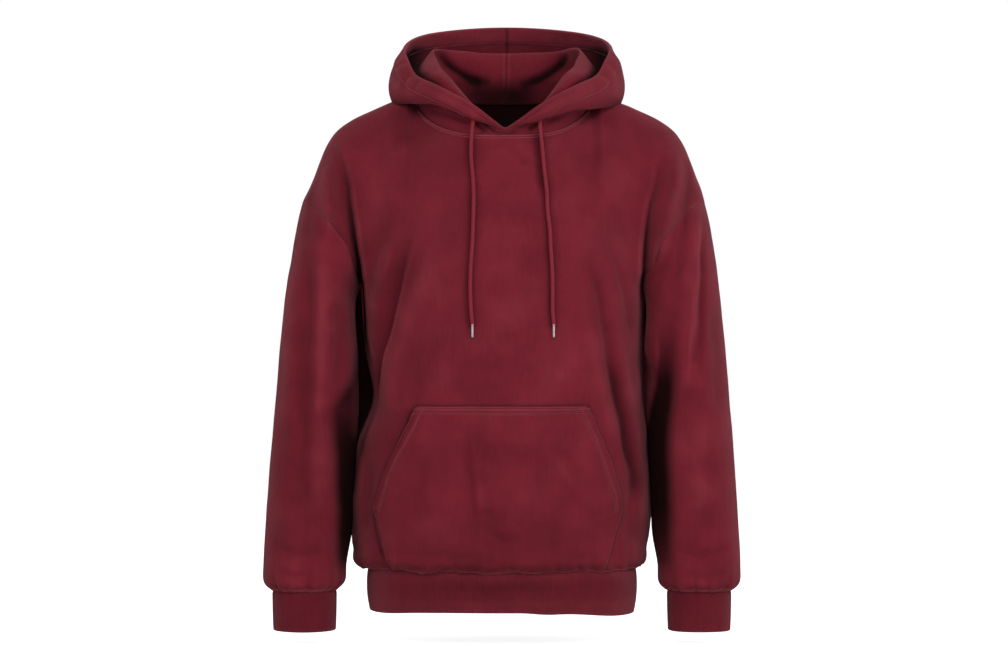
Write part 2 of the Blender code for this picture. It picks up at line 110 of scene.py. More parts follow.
# %% White surroundings
sky = bpy.data.worlds.new("studio_sky")
bpy.context.scene.world = sky
tree = empty_tree(sky)
ray = add_node(tree, "LightPath").outputs
seen = add_node(tree, "Math", {0: ray["Is Camera Ray"], 1: ray["Is Glossy Ray"]}, operation="MAXIMUM")
soft_sky = add_node(tree, "Background", {"Color": (1.0, 0.99, 0.98, 1.0), "Strength": 0.14})
white_sky = add_node(tree, "Background", {"Color": (1.0, 1.0, 1.0, 1.0), "Strength": 1.0})
pick = add_node(tree, "MixShader", {0: seen.outputs[0], 1: soft_sky.outputs[0], 2: white_sky.outputs[0]})
add_node(tree, "OutputWorld", {"Surface": pick.outputs[0]})
print("sky strength on the cloth:", soft_sky.inputs["Strength"].default_value)

# %% [markdown]
# Six soft boxes do the lighting. A large one in front and above gives the wide, faint shadows that matt fleece
# shows, and one on each side fills the folds, the wearer's left side more. Two behind and one above skim the
# edges, so that the dark cloth stands out from the white.

# %% Soft boxes
def soft_box(name, place, aim, width, height, power):
    lamp = bpy.data.lights.new(name, "AREA")
    lamp.shape = "RECTANGLE"
    lamp.size, lamp.size_y = width, height
    lamp.energy = power
    box = show(name, lamp)
    box.location = place
    x, y, z = np.array(aim) - np.array(place)
    box.rotation_euler = (math.atan2(math.hypot(x, y), -z), 0, math.atan2(-x, y))


middle = (0, 0, -0.35)
for name, place, aim, width, height, power in (
        ("front_box", (0.3, -3.4, 1.7), (0, 0, -0.30), 2.2, 1.6, 82),
        ("left_box", (-2.6, -2.2, 0.6), middle, 1.2, 2.0, 17),
        ("right_box", (2.6, -2.4, 0.5), middle, 1.2, 2.0, 40),
        ("left_edge_box", (-2.6, 1.3, 0.4), middle, 1.2, 2.0, 16),
        ("top_edge_box", (0, 0.9, 2.0), (0, 0, -0.1), 1.8, 0.6, 14),
        ("right_edge_box", (2.6, 1.3, 0.4), middle, 1.2, 2.0, 13)):
    soft_box(name, place, aim, width, height, power)

# %% [markdown]
# The floor is a plain white sheet a little below the cuffs. It adds some glow for the camera alone, so that it
# melts into the white sky and only the garment's soft shadow is left on it.

# %% Floor
floor_level, near_edge, reach = -0.737, -6, 30.0
floor_mesh = bpy.data.meshes.new("studio_floor")
corners = ((-reach, near_edge), (reach, near_edge), (reach, reach), (-reach, reach))
floor_mesh.from_pydata([(x, y, floor_level) for x, y in corners], [], [(0, 1, 2, 3)])
floor = show("studio_floor", floor_mesh)
white_floor = bpy.data.materials.new("studio_white")
tree = empty_tree(white_floor)
ray = add_node(tree, "LightPath").outputs
matt = add_node(tree, "BsdfDiffuse", {"Color": (0.90, 0.90, 0.90, 1)})
glow = add_node(tree, "Emission", {"Strength": 0.87})
none = add_node(tree, "Emission", {"Strength": 0.0})
choose = add_node(tree, "MixShader", {0: ray["Is Camera Ray"], 1: none.outputs[0], 2: glow.outputs[0]})
total = add_node(tree, "AddShader", {0: matt.outputs[0], 1: choose.outputs[0]})
add_node(tree, "OutputMaterial", {"Surface": total.outputs[0]})
floor_mesh.materials.append(white_floor)
print("floor level, m:", floor_level)

# %% [markdown]
# ## Fleece
# Hoodie cloth is a knit with a brushed back. From near it shows fine upright columns of stitches, a slight
# fuzz, a dye that is a touch uneven, and pale wear along the seams. The columns come from each
# piece's own flat layout (its UV map, laid out in metres), so they follow the cloth round the body. The fuzz
# and the uneven dye come from noise in space.
#
# Two numbers painted on each piece steer the colour. The first says how pale it is: rubbed wear along seams,
# and painted highlight on fold tops, on the crisp edges of laps and on lit patches. "deep" is painted shade:
# fold bottoms, narrow gaps, fine creases and cast shadows, where hardly any light comes in. Soft boxes alone
# don't darken such places enough, so we paint that shade into the colour, by place on the garment.

# %% Fleece material
def knit_cloth(name, plain, rubbed_and_lit, columns_per_m, column_depth, fuzz_depth, sheen=0.14, deep_name="deep"):
    """A dyed knit in a plain colour and a pale one for rubbed wear and painted highlight; columns_per_m counts a
    metre's stitch columns.
    """
    cloth = bpy.data.materials.new(name)
    cloth.use_nodes = True
    tree = cloth.node_tree
    shader = tree.nodes["Principled BSDF"].inputs
    shader["Roughness"].default_value = 0.92
    shader["Specular IOR Level"].default_value = 0.08
    shader["Sheen Roughness"].default_value = 0.38
    shader["Sheen Tint"].default_value = (0.80, 0.42, 0.46, 1)
    place = add_node(tree, "TexCoord").outputs["Object"]

    # uneven dye: slow clouds with upright specks in them
    cloud = add_node(tree, "TexNoise", {"Vector": place, "Scale": 16.0, "Detail": 5.0, "Roughness": 0.62})
    upright = add_node(tree, "Mapping", {"Vector": place, "Scale": (1.0, 1.0, 0.16)})
    speckle = add_node(tree, "TexNoise", {"Vector": upright.outputs[0], "Scale": 260.0, "Detail": 3.0})
    blend = add_node(tree, "Math", {0: speckle.outputs["Fac"], 1: 0.35, 2: cloud.outputs["Fac"]},
                     operation="MULTIPLY_ADD")
    spread = add_node(tree, "MapRange", {"Value": blend.outputs[0], "From Min": 0.45, "From Max": 0.90,
                                         "To Min": 0.82, "To Max": 1.18})
    # the pale colour: rubbed wear along seams, and painted highlight on fold tops, lap edges and lit patches
    rub_and_highlight = add_node(tree, "Attribute", attribute_name="rubbed_and_lit")
    tone = add_node(tree, "Mix", {"Factor": rub_and_highlight.outputs["Fac"], "A": (*plain, 1), "B": (*rubbed_and_lit, 1)},
                    data_type="RGBA")
    dye = multiply(tree, tone.outputs["Result"], spread.outputs["Result"])

    # stitch columns: a wave along the cloth's own width, darker in its hollows
    layout = add_node(tree, "UVMap", uv_map="layout")
    split = add_node(tree, "SeparateXYZ", {0: layout.outputs[0]})
    wave = add_node(tree, "Math", {0: split.outputs["X"], 1: 2 * math.pi * columns_per_m}, operation="MULTIPLY")
    column = add_node(tree, "Math", {0: wave.outputs[0]}, operation="SINE")
    hollow = add_node(tree, "MapRange", {"Value": column.outputs[0], "From Min": -1.0, "From Max": 1.0,
                                         "To Min": 1.0 - 260 * column_depth, "To Max": 1.0})
    dye = multiply(tree, dye, hollow.outputs["Result"])

    # painted shade: deep places are darker, and lose the pale sheen
    hidden = add_node(tree, "Attribute", attribute_name=deep_name).outputs["Fac"]
    shade = add_node(tree, "MapRange", {"Value": hidden, "To Min": 1.0, "To Max": 0.06})
    bloom = add_node(tree, "MapRange", {"Value": hidden, "To Min": sheen, "To Max": 0.0})
    tree.links.new(bloom.outputs["Result"], shader["Sheen Weight"])
    tree.links.new(multiply(tree, dye, shade.outputs["Result"]), shader["Base Color"])

    raised = add_node(tree, "Bump", {"Distance": column_depth, "Height": column.outputs[0]})
    fuzz = add_node(tree, "TexNoise", {"Vector": place, "Scale": 900.0, "Detail": 4.0})
    brushed = add_node(tree, "Bump", {"Distance": fuzz_depth, "Height": fuzz.outputs["Fac"],
                                      "Normal": raised.outputs[0]})
    tree.links.new(brushed.outputs[0], shader["Normal"])
    return cloth


# the pale burgundy serves both rubbed wear and painted highlight
burgundy, pale_burgundy = (0.152, 0.0130, 0.0230), (0.240, 0.0350, 0.0500)
# the inside faces of the body get a near-black copy of the burgundy: painted shade for the dark inside
inside_shade_burgundy, rib_burgundy = (0.013, 0.0013, 0.0021), (0.124, 0.0108, 0.0190)
fleece_columns, rib_columns = 850, 480
fleece = knit_cloth("burgundy_fleece_knit", burgundy, pale_burgundy, fleece_columns, 0.00010, 0.00022)
fleece_inside_shaded = knit_cloth("burgundy_fleece_inside_shaded", inside_shade_burgundy, inside_shade_burgundy, fleece_columns,
                           0.00005, 0.00040, sheen=0.02)
# the hood's inside face: the same fleece, darkened by painted shade from its deep_inside numbers
hood_lining = knit_cloth("burgundy_fleece_hood_inside", burgundy, pale_burgundy, fleece_columns,
                         0.00010, 0.00022, deep_name="deep_inside")
print("fleece columns in 10 mm:", fleece_columns / 100)

# %% [markdown]
# ## Rib
# The cuffs and the hem band are rib knit: ridges about 2 mm apart that run up the band and let it stretch. It
# is the same recipe as the fleece with fewer, deeper columns.

# %% Rib material
rib = knit_cloth("burgundy_rib_knit", rib_burgundy, pale_burgundy, rib_columns, 0.00022, 0.00018)
print("rib columns in 10 mm:", rib_columns / 100)

# %% [markdown]
# ## Thread, cord, metal and tape
# The seams are sewn with a slightly paler thread. The drawcord is a round braid whose strands are shaped in the
# mesh, so its material is plain. The tips are crimped metal, and the label is a black woven tape.

# %% Small materials
def plain_finish(name, colour, rough, metallic=0.0, grain=600.0, grain_depth=0.00005, spread=0.12, gloss=0.5):
    finish = bpy.data.materials.new(name)
    finish.use_nodes = True
    tree = finish.node_tree
    shader = tree.nodes["Principled BSDF"].inputs
    shader["Roughness"].default_value = rough
    shader["Metallic"].default_value = metallic
    shader["Specular IOR Level"].default_value = gloss
    place = add_node(tree, "TexCoord").outputs["Object"]
    noise = add_node(tree, "TexNoise", {"Vector": place, "Scale": grain, "Detail": 3.0}).outputs["Fac"]
    level = add_node(tree, "MapRange", {"Value": noise, "To Min": 1.0 - spread, "To Max": 1.0 + spread})
    tree.links.new(multiply(tree, (*colour, 1), level.outputs["Result"]), shader["Base Color"])
    bump = add_node(tree, "Bump", {"Distance": grain_depth, "Height": noise})
    tree.links.new(bump.outputs[0], shader["Normal"])
    return finish


thread = plain_finish("seam_thread", (0.330, 0.085, 0.105), 0.80, grain=2500, spread=0.25, gloss=0.1)
braid = plain_finish("cord_braid", (0.196, 0.0200, 0.0330), 0.88, grain=1500, spread=0.2, gloss=0.1)
tip_metal = plain_finish("tip_metal", (0.36, 0.29, 0.29), 0.34, metallic=1.0, grain=300, spread=0.05)
label_tape = plain_finish("label_tape", (0.005, 0.004, 0.0045), 0.9, grain=1800, grain_depth=0.0001, gloss=0.05)
print("materials:", [m.name for m in bpy.data.materials])

# %% [markdown]
# ## Making cloth from a few numbers
# A pattern cutter thinks in a few levels and edges, and lets the cloth run smoothly between them. These helpers
# do that: a smooth line through rows of numbers, the same along a line's own length, a soft step, a soft bump
# and a fade. All tables below are in mm, which is what a maker measures cloth in.

# %% Smooth lines
MM = 0.001


def metres(table):
    """Rows given in mm, as an array in metres."""
    return np.array(table, float) / 1000


def smooth_way(t, start, leaving, end, arriving):
    """The point at t, from 0 to 1, of a curve from start to end that leaves and arrives in these ways."""
    return ((2 * t**3 - 3 * t**2 + 1) * start + (t**3 - 2 * t**2 + t) * leaving
            + (3 * t**2 - 2 * t**3) * end + (t**3 - t**2) * arriving)


def through(knots, rows, at):
    """Rows of numbers on a smooth curve through the given rows, which stand at the knots."""
    knots, rows = np.asarray(knots, float), np.asarray(rows, float)
    at = np.clip(np.asarray(at, float), knots[0], knots[-1])
    slopes = np.gradient(rows, knots, axis=0)
    k = np.clip(np.searchsorted(knots, at, side="right") - 1, 0, len(knots) - 2)
    span = (knots[k + 1] - knots[k])[:, None]
    t = (at - knots[k])[:, None] / span
    return smooth_way(t, rows[k], span * slopes[k], rows[k + 1], span * slopes[k + 1])


def run_along(points):
    """How far along a line each of its points is."""
    return np.concatenate([[0.0], np.cumsum(np.linalg.norm(np.diff(points, axis=0), axis=1))])


def along(points, shares):
    """Points of a smooth line through the given points, at these shares of its length."""
    run = run_along(np.asarray(points, float))
    return through(run / run[-1], points, shares)


def ease(x):
    """A soft step from 0 to 1."""
    x = np.clip(x, 0.0, 1.0)
    return x * x * (3 - 2 * x)


def hump(away, wide):
    """A soft bump: 1 in the middle, and next to nothing at twice its half width."""
    return np.exp(-((away / wide) ** 2))


def fade(away, reach):
    """1 at an edge, falling off over this reach."""
    return np.exp(-away / reach)


print("half way up the soft step:", float(ease(0.5)))

# %% [markdown]
# A fold is a soft trough or ridge that runs along a line on the cloth. We give each as a few points,
# with how wide and how deep it is at its start and its end, and let it fade out at both. Several such strokes,
# all different, read as cloth. A cloth simulation would make folds of its own in its own places. Here the pose
# and the folds are known, so listing them is quicker and keeps them where they belong.
#
# A lap is a larger fold, where one part of the cloth hangs over another: a crisp edge with a drop behind it.
# On top of all comes a very faint waviness, since no cloth hangs perfectly smooth.

# %% Folds given as lines
def from_line(places, line):
    """How far flat places are from a line of points, and how far along it the nearest spot is."""
    start, way = line[:-1], np.diff(line, axis=0)
    best, where = np.full(len(places), 9.0), np.zeros(len(places))
    for k, (a, w) in enumerate(zip(start, way)):
        t = np.clip((places - a) @ w / max(w @ w, 1e-12), 0, 1)
        away = np.linalg.norm(places - a - t[:, None] * w, axis=1)
        nearer = away < best
        best, where = np.where(nearer, away, best), np.where(nearer, k + t, where)
    return best, where / (len(line) - 1)


def both_ends(share, part):
    """Fades a stroke in and out over this part of its length."""
    return ease(share / part) * ease((1 - share) / part)


def fold_press(flat, folds):
    """How far points at these flat places are pressed in. Each fold: its points, then half width and depth
    at its start and end, in mm. A negative depth is a ridge."""
    press = np.zeros(flat.shape[:-1])
    for points, wide_start, wide_end, deep_start, deep_end in folds:
        away, share = from_line(flat.reshape(-1, 2), along(metres(points), np.linspace(0, 1, 60)))
        wide = (wide_start + (wide_end - wide_start) * share) * MM
        deep = (deep_start + (deep_end - deep_start) * share) * MM
        press += (deep * both_ends(share, 0.22) * hump(away, wide)).reshape(press.shape)
    return press


def strokes(grid, lines):
    """Painted shade along lines of X and Z places. Each: its points, half width in mm and strength."""
    shade = np.zeros(grid.shape[:2])
    for points, wide, dark in lines:
        away, share = from_line(flat_places(grid).reshape(-1, 2), metres(points))
        shade += (dark * both_ends(share, 0.2) * hump(away, wide * MM)).reshape(shade.shape)
    return shade


def flat_places(grid):
    """X and Z of each point, which is how the fold tables name places."""
    return grid[:, :, [0, 2]]


def lap(x, level, side, table, step):
    """One fold lying over another: a crisp edge, then a drop away from the middle that eases out again.
    The table gives level, X of the edge (as if on the wearer's left), depth and reach. The lip is a strip
    along the edge that gets a painted highlight."""
    table = metres(table)[::-1]
    edge, deep, reach = (np.interp(level, table[:, 0], table[:, k]) for k in (1, 2, 3))
    beyond = side * x - edge
    tail = hump(np.maximum(beyond - 1.4 * step * MM, 0), reach)
    lip_highlight = hump(beyond + 2 * MM, 2.2 * MM) * np.clip(deep / (14 * MM), 0, 1)
    return deep * ease(beyond / (step * MM)) * tail, lip_highlight


def waviness(points, size, height, seed):
    """Faint, slow bumps in space: size is about how far apart they are, height how far they go."""
    dice = np.random.default_rng(seed)
    total = np.zeros(points.shape[:-1])
    for _ in range(14):
        way = dice.normal(size=3)
        way /= np.linalg.norm(way)
        pace = 2 * math.pi / (size * dice.uniform(0.7, 1.9))
        total += np.sin(points @ way * pace + dice.uniform(0, 6.28))
    return total * height / 3.7


def closed_up(grid):
    """The same grid with its first column again at its end, for a tube."""
    return np.concatenate([grid, grid[:, :1]], axis=1)


def normals_of(grid, loop=False):
    """Unit normals of a grid of points: along a row crossed with up a column."""
    if loop:
        wide = np.concatenate([grid[:, -1:], grid, grid[:, :1]], axis=1)
        across = (wide[:, 2:] - wide[:, :-2]) / 2
    else:
        across = np.gradient(grid, axis=1)
    found = np.cross(across, np.gradient(grid, axis=0))
    return found / np.maximum(np.linalg.norm(found, axis=2)[:, :, None], 1e-12)


def edge_distances(grid):
    """How far along the cloth each point is from the grid's left, right, first-row and last-row edges."""
    across = np.linalg.norm(np.diff(grid, axis=1), axis=2)
    up = np.linalg.norm(np.diff(grid, axis=0), axis=2)
    left = np.concatenate([np.zeros((len(grid), 1)), np.cumsum(across, axis=1)], axis=1)
    first = np.concatenate([np.zeros((1, grid.shape[1])), np.cumsum(up, axis=0)], axis=0)
    return left, left[:, -1:] - left, first, first[-1:] - first


# %% [markdown]
# Each grid of points becomes one piece: a sheet with its flat layout stored as a UV map in metres, its pale
# places (rubbed wear and painted highlight) and its painted shade stored as attributes, and a Solidify modifier
# for the thickness of the cloth.

# %% A sheet of cloth
def make_piece(name, points, faces, finish):
    """A smooth mesh on the garment's one body, in its material."""
    mesh = bpy.data.meshes.new(name)
    mesh.from_pydata(points, [], faces)
    mesh.polygons.foreach_set("use_smooth", [True] * len(faces))
    mesh.materials.append(finish)
    piece = show(name, mesh)
    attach(piece, "root")
    return piece


def sew_sheet(name, grid, finish, thickness, loop=False, flip=False, rubbed_and_lit=None, share=None,
              deep=None, inside=None, deep_inside=None):
    rows, columns = grid.shape[:2]
    i, j = np.meshgrid(np.arange(rows - 1), np.arange(columns if loop else columns - 1), indexing="ij")
    i, j = i.ravel(), j.ravel()
    k = (j + 1) % columns
    faces = np.stack([i * columns + j, i * columns + k, (i + 1) * columns + k, (i + 1) * columns + j], axis=1)
    closed = closed_up(grid) if loop else grid
    left, right, first, _ = edge_distances(closed)
    u = (left - right) / 2
    corners = np.stack([np.stack([u[a, b], first[a, b]], axis=1)
                        for a, b in ((i, j), (i, j + 1), (i + 1, j + 1), (i + 1, j))], axis=1)
    if flip:
        faces, corners = faces[:, ::-1], corners[:, ::-1]
    piece = make_piece(name, grid.reshape(-1, 3).tolist(), faces.tolist(), finish)
    mesh = piece.data
    mesh.uv_layers.new(name="layout").data.foreach_set("uv", corners.ravel())
    for word, amount in (("rubbed_and_lit", rubbed_and_lit), ("deep", deep), ("deep_inside", deep_inside)):
        painted = np.zeros(rows * columns) if amount is None else np.clip(amount, 0, 1).ravel()
        mesh.attributes.new(word, "FLOAT", "POINT").data.foreach_set("value", painted)
    body = piece.modifiers.new("cloth", "SOLIDIFY")
    body.thickness = thickness
    body.offset = 0.0
    body.use_quality_normals = True
    if inside is not None:
        mesh.materials.append(inside)
        body.material_offset = 1
    if share is not None:
        group = piece.vertex_groups.new(name="thick")
        for level in np.unique(np.round(share, 2)):
            group.add(np.flatnonzero(np.abs(share.ravel() - level) < 0.006).tolist(), float(level), "REPLACE")
        body.vertex_group = "thick"
        body.thickness_vertex_group = 0.0
    side, up = np.diff(closed, axis=1), np.diff(closed, axis=0)
    area = float(np.linalg.norm(np.cross(side[:-1], up[:, :-1]), axis=2).sum())
    print(name, "points", rows * columns, "area, m2", round(area, 4))
    return piece


# %% [markdown]
# ## Stitches
# Sportswear seams are topped with one or two rows of straight stitches. Each stitch here is a little thread
# lozenge, sunk half way into the cloth. All the stitches of one seam make one mesh, worked out in one go.

# %% Rows of stitches
FLEECE, RIB = 2.0 * MM, 2.6 * MM
STITCH_PITCH, STITCH_LENGTH, STITCH_WIDTH = 3.1 * MM, 2.3 * MM, 0.42 * MM
lozenge = np.array([(-0.5, 0, 0)] + [(x, 0.85 * math.cos(a), 0.85 * math.sin(a)) for x in (-0.34, 0.34)
                                     for a in (0, 1.571, 3.142, 4.712)] + [(0.5, 0, 0)])
lozenge_faces = [(0, 2, 1), (0, 3, 2), (0, 4, 3), (0, 1, 4), (1, 2, 6, 5), (2, 3, 7, 6), (3, 4, 8, 7), (4, 1, 5, 8),
                 (9, 5, 6), (9, 6, 7), (9, 7, 8), (9, 8, 5)]


def sew_stitches(name, lines):
    """One mesh for all the stitches on these lines. Each line: its points and their outward normals."""
    points, faces = [], []
    for line, normal in lines:
        knots = run_along(line)
        at = np.arange(STITCH_PITCH / 2, knots[-1], STITCH_PITCH)

        def read(values, where):
            return np.stack([np.interp(where, knots, values[:, k]) for k in range(3)], axis=1)

        spot, out = read(line, at), read(normal, at)
        way = read(line, at + 0.5 * MM) - read(line, at - 0.5 * MM)
        way /= np.maximum(np.linalg.norm(way, axis=1)[:, None], 1e-9)
        out /= np.maximum(np.linalg.norm(out, axis=1)[:, None], 1e-9)
        for s, w, o, b in zip(spot, way, out, np.cross(out, way)):
            base = len(points)
            points += (s + w * lozenge[:, :1] * STITCH_LENGTH + b * lozenge[:, 1:2] * STITCH_WIDTH
                       + o * lozenge[:, 2:] * STITCH_WIDTH).tolist()
            faces += [tuple(base + v for v in face) for face in lozenge_faces]
    print(name, "stitches:", len(points) // len(lozenge))
    return make_piece(name, points, faces, thread)


def seam_rows(grid, outward, edge, insets, thickness=FLEECE, start=0.0, end=1.0):
    """Lines this many mm inside one edge of a grid, on the outer face of cloth this thick, with their normals."""
    def turned(values):
        if edge in ("left", "right"):
            values = values.transpose(1, 0, 2)
        return values[::-1] if edge in ("last", "right") else values

    grid, outward = turned(grid), turned(outward)
    last = grid.shape[1] - 1
    picked = range(int(round(start * last)), int(round(end * last)) + 1)
    lines = []
    for inset in insets:
        line, normal = [], []
        for c in picked:
            knots = run_along(grid[:, c])
            line.append([np.interp(inset * MM, knots, grid[:, c, k]) for k in range(3)])
            normal.append([np.interp(inset * MM, knots, outward[:, c, k]) for k in range(3)])
        line, normal = np.array(line), np.array(normal)
        lines.append((line + normal * thickness / 2, normal))
    return lines


print("stitches to a centimetre:", round(10 * MM / STITCH_PITCH, 1))

# %% [markdown]
# ## The body
# A relaxed hoodie body is a tube, a little square in plan, that hangs from the shoulders and tucks in where the
# rib band grips it. The tables give its half width and depth at each level, the neckline, the shoulder seam
# with its dropped point, and the armholes. The front and back panels are the two halves of that tube.

# %% Sizes of the body
body_levels = metres((  # level, half width, front depth, back depth, side seam, middle's shift, swell behind the arm
    (-638, 190, 117, 113, 12, -2.2, 0),
    (-631, 197.2, 126.2, 121.2, 13, -3.8, 0),
    (-610, 199.8, 133, 127, 15, -4.2, 1),
    (-566, 204.5, 137, 130, 18, -4.2, 6),
    (-480, 198, 138, 130, 22, -3, 18),
    (-386, 192, 139, 130, 26, -1.5, 28),
    (-310, 191, 140, 130.5, 24, -0.5, 24),
    (-248, 195, 139.5, 131, 20, 0, 6),
))
body_square = 2.35  # how square the tube is in plan: 2 is an oval
neck_share = 0.45  # the neckline's share of half a panel's top edge
half_seam = 0.30 * MM
front_neck = metres((
    (0, -88, -48), (35, -86.5, -47.5), (68, -78, -43),
    (96, -55, -30), (115, -27, -11), (123, 1, 10),
))
back_neck = metres((
    (0, 78, 4), (35, 77, 4.5), (70, 69, 6),
    (100, 49, 8.5), (118, 24, 10.5), (123, 1, 10),
))
shoulder_seam = metres((
    (123, 1, 10), (152, 3, 1), (182, 4, -11.5),
    (210, 4, -25), (231, 4, -41), (242.5, 4, -58),
    (251.5, 4, -79), (260.5, 4, -103), (274, 4, -134),
))
front_armhole = metres((
    (195, 20, -248), (198.5, -18, -243), (203, -47, -225), (211, -61, -198),
    (229, -64, -172), (250, -50, -150), (267, -22, -137), (274, 4, -134),
))
back_armhole = metres((
    (195, 20, -248), (199, 52, -241), (206, 78, -218), (220, 90, -188),
    (242, 84, -163), (262, 50, -143), (274, 4, -134),
))
rise_from_shoulder = (
    (0.45, -0.22, 0.95, 0.15, 0.80), (0.60, 0.00, 1.00, 0.00, 0.85), (0.80, 0.00, 1.00, 0.00, 0.75),
    (1.00, 0.00, 1.00, 0.00, 0.45),
)
front_rise = (  # share across the panel, then the way the cloth comes up to the seam and how full it is
    (0.00, 0.00, 0.55, 0.83, 0.90), (0.22, -0.10, 0.60, 0.78, 0.90), (0.36, -0.22, 0.75, 0.60, 0.85),
    *rise_from_shoulder,
)
back_rise = (
    (0.00, 0.00, 0.60, 0.80, 0.90), (0.22, -0.10, 0.65, 0.74, 0.90), (0.36, -0.22, 0.78, 0.55, 0.85),
    *rise_from_shoulder,
)
print("body width at its fullest, m:", round(2 * body_levels[:, 1].max(), 4))


# %% Half of a body panel
def half_panel(front, u, levels, highs):
    """Rows from the hem seam to the underarm at these levels, then up to the neck and shoulder."""
    face = -1.0 if front else 1.0
    gap = np.array([0.0, face * half_seam, 0.0])
    sizes = through(body_levels[:, 0], body_levels[:, 1:], levels)
    sine = np.sin(u * np.pi / 2) ** (2 / body_square)
    cosine = np.maximum(np.cos(u * np.pi / 2), 0.0) ** (2 / body_square)
    swell = ease((u - 0.55) / 0.33) * ease((1 - u) / 0.10) * (not front)
    rows = []
    for level, (wide, ahead, behind, seam, _, out) in zip(levels, sizes):
        seam = seam + face * half_seam
        deep = -ahead if front else behind
        rows.append(np.stack([wide * sine + out * swell, seam + (deep - seam) * cosine,
                              np.full_like(u, level)], axis=1))
    chest = rows[-1]
    neck = along(front_neck if front else back_neck, np.clip(u / neck_share, 0, 1))
    shoulder = along(shoulder_seam, np.clip((u - neck_share) / (1 - neck_share), 0, 1)) + gap
    top = np.where((u < neck_share - 1e-6)[:, None], neck, shoulder)
    rise = np.array(front_rise if front else back_rise)
    lean = through(rise[:, 0], rise[:, 1:], u)
    way = lean[:, :3] * np.array([1.0, -face, 1.0])
    way /= np.linalg.norm(way, axis=1)[:, None]
    length = np.linalg.norm(top - chest, axis=1)[:, None]
    edge = along(front_armhole if front else back_armhole, highs) + gap
    pull = ease((u - 0.55) / 0.45)[:, None]
    for t, seam_point in zip(highs[1:], edge[1:]):
        row = smooth_way(t, chest, length * np.array([0, 0, 1.0]), top, way * length * lean[:, 3:4])
        rows.append(row + pull * (seam_point - row[-1]))
    return np.array(rows)


# %% [markdown]
# Now the folds of the body. The largest are where the drop shoulder tips over into the arm, a trough from the
# shoulder down to the underarm on each side. Long diagonals run from the chest down to the sides, because the
# hem band holds the cloth in there. Those on the wearer's left fan out, and the wearer's right has one deep one.
# Each fold is a row: its points (X and Z), its half width and its depth at its start and end.

# %% Folds of the body
front_folds = (
    (((-86, -175), (-104, -230), (-131, -300), (-152, -372), (-166, -440)), 13, 13, -2, -3),
    (((-150, -190), (-166, -250), (-172, -310)), 9, 8, -2.5, -2.5),
    # wearer's left: a short one by the side and a long strong one
    (((138, -180), (148.1, -211), (162.7, -258), (169.3, -291), (177.3, -331)), 5, 6, 3, 4),
    (((108, -190), (114.9, -220), (128.1, -258), (134.8, -291), (142.5, -337), (153, -390),
      (161.2, -424), (168.5, -457), (178, -497), (186, -540)), 7, 8, 4.5, 9.5),
    (((148, -290), (158, -335), (167, -380), (176, -425)), 6, 6, -2, -3),
    (((98, -245), (112, -300), (124, -355), (138, -410), (152, -470)), 7, 8, -1.6, -2.6),
    # faint ones on the chest and above the band
    (((42.5, -40), (46.5, -91), (54, -150)), 5, 4, 2.6, 1.6),
    (((6, -60), (16, -72), (32, -90)), 4, 5, 2.2, 1.6),
    (((-60, -80), (-75, -130), (-80, -190)), 16, 18, 1.8, 1.4),
    (((100, -60), (112, -110), (110, -170)), 16, 18, 1.6, 1.6),
    (((-186, -450), (-176, -530), (-182, -595)), 10, 11, 4, 4),
    (((184, -500), (176, -550), (180, -610)), 9, 11, 3.5, 3.5),
)
arm_shadow = (((250, -50), (249, -100), (247, -140), (243, -195)), 5, 0.22)
right_arm_shadow = (((-264, -80), (-263, -115), (-261, -170)), 6, 0.16)
front_shadows = (  # a line, its half width in mm and how dark: creases too fine to stand out by shape alone
    arm_shadow, right_arm_shadow,
    (((138, -330), (149, -364), (154, -390), (160.2, -417), (166.8, -443), (170, -470),
      (177.5, -497), (184, -523), (190, -560)), 9, 0.5),
    (((-175.5, -335), (-179, -417), (-187, -457), (-195, -510), (-199, -550)), 3.5, 0.6),
    (((40, -35), (45.5, -85), (50.5, -130)), 5, 0.3),
    (((-138, -4), (-140, -30), (-136, -70)), 15, 0.26),
    (((140, -10), (148, -45), (146, -85)), 15, 0.24),
)
side_lap = (  # wearer's right: the middle of the chest lies over the side in one long diagonal
    (-185, 116.5, 0, 15), (-206, 122.8, 3.5, 15), (-234, 131.1, 8, 14), (-303, 146.1, 11, 12),
    (-345, 159, 11, 9), (-389, 169.7, 9, 8), (-427, 178.6, 5, 8), (-465, 186, 0, 8),
)
arm_laps = {  # where the chest ends in a crisp edge and drops back toward the arm
    -1: ((-60, 223.5, 0, 9), (-86, 212, 4, 9), (-118, 205, 7, 9), (-151, 199.8, 11, 9),
         (-185, 195.3, 15, 8), (-218, 190.5, 20, 7), (-251, 187.2, 24, 6), (-285, 185, 24, 5),
         (-317.5, 183, 18, 5), (-350, 180, 8, 5), (-385, 178, 0, 5)),
    1: ((-60, 209, 0, 6), (-84.5, 201, 1.5, 6), (-118, 196, 4, 6), (-151, 190.5, 7, 6),
        (-185, 186.3, 11, 6), (-218, 184.8, 14, 5), (-251, 184.5, 14, 2.5), (-285, 184.5, 9, 1),
        (-317.5, 184.5, 3, 1), (-335, 184.5, 0, 1)),
}
arm_folds = (  # these run on from the body into the sleeve, and push the cloth straight back
    (((-243.5, -70), (-244, -105), (-240, -145), (-236, -190)), 6, 7, -3, -3),
    (((-256, -105), (-262, -150), (-264, -205)), 7, 8, 3, 3),
    (((234.5, -54), (233.5, -100), (229, -140), (219, -185), (208, -240)), 6, 7, -3.5, -3),
    (((250, -90), (248, -140), (242, -190), (233, -250)), 7, 8, 3.5, 3.5),
    (((270, -132), (264, -160), (260.5, -195), (257.8, -250), (253, -300), (249.8, -350),
      (246.5, -400)), 3, 3, -2.6, -2.2),
)
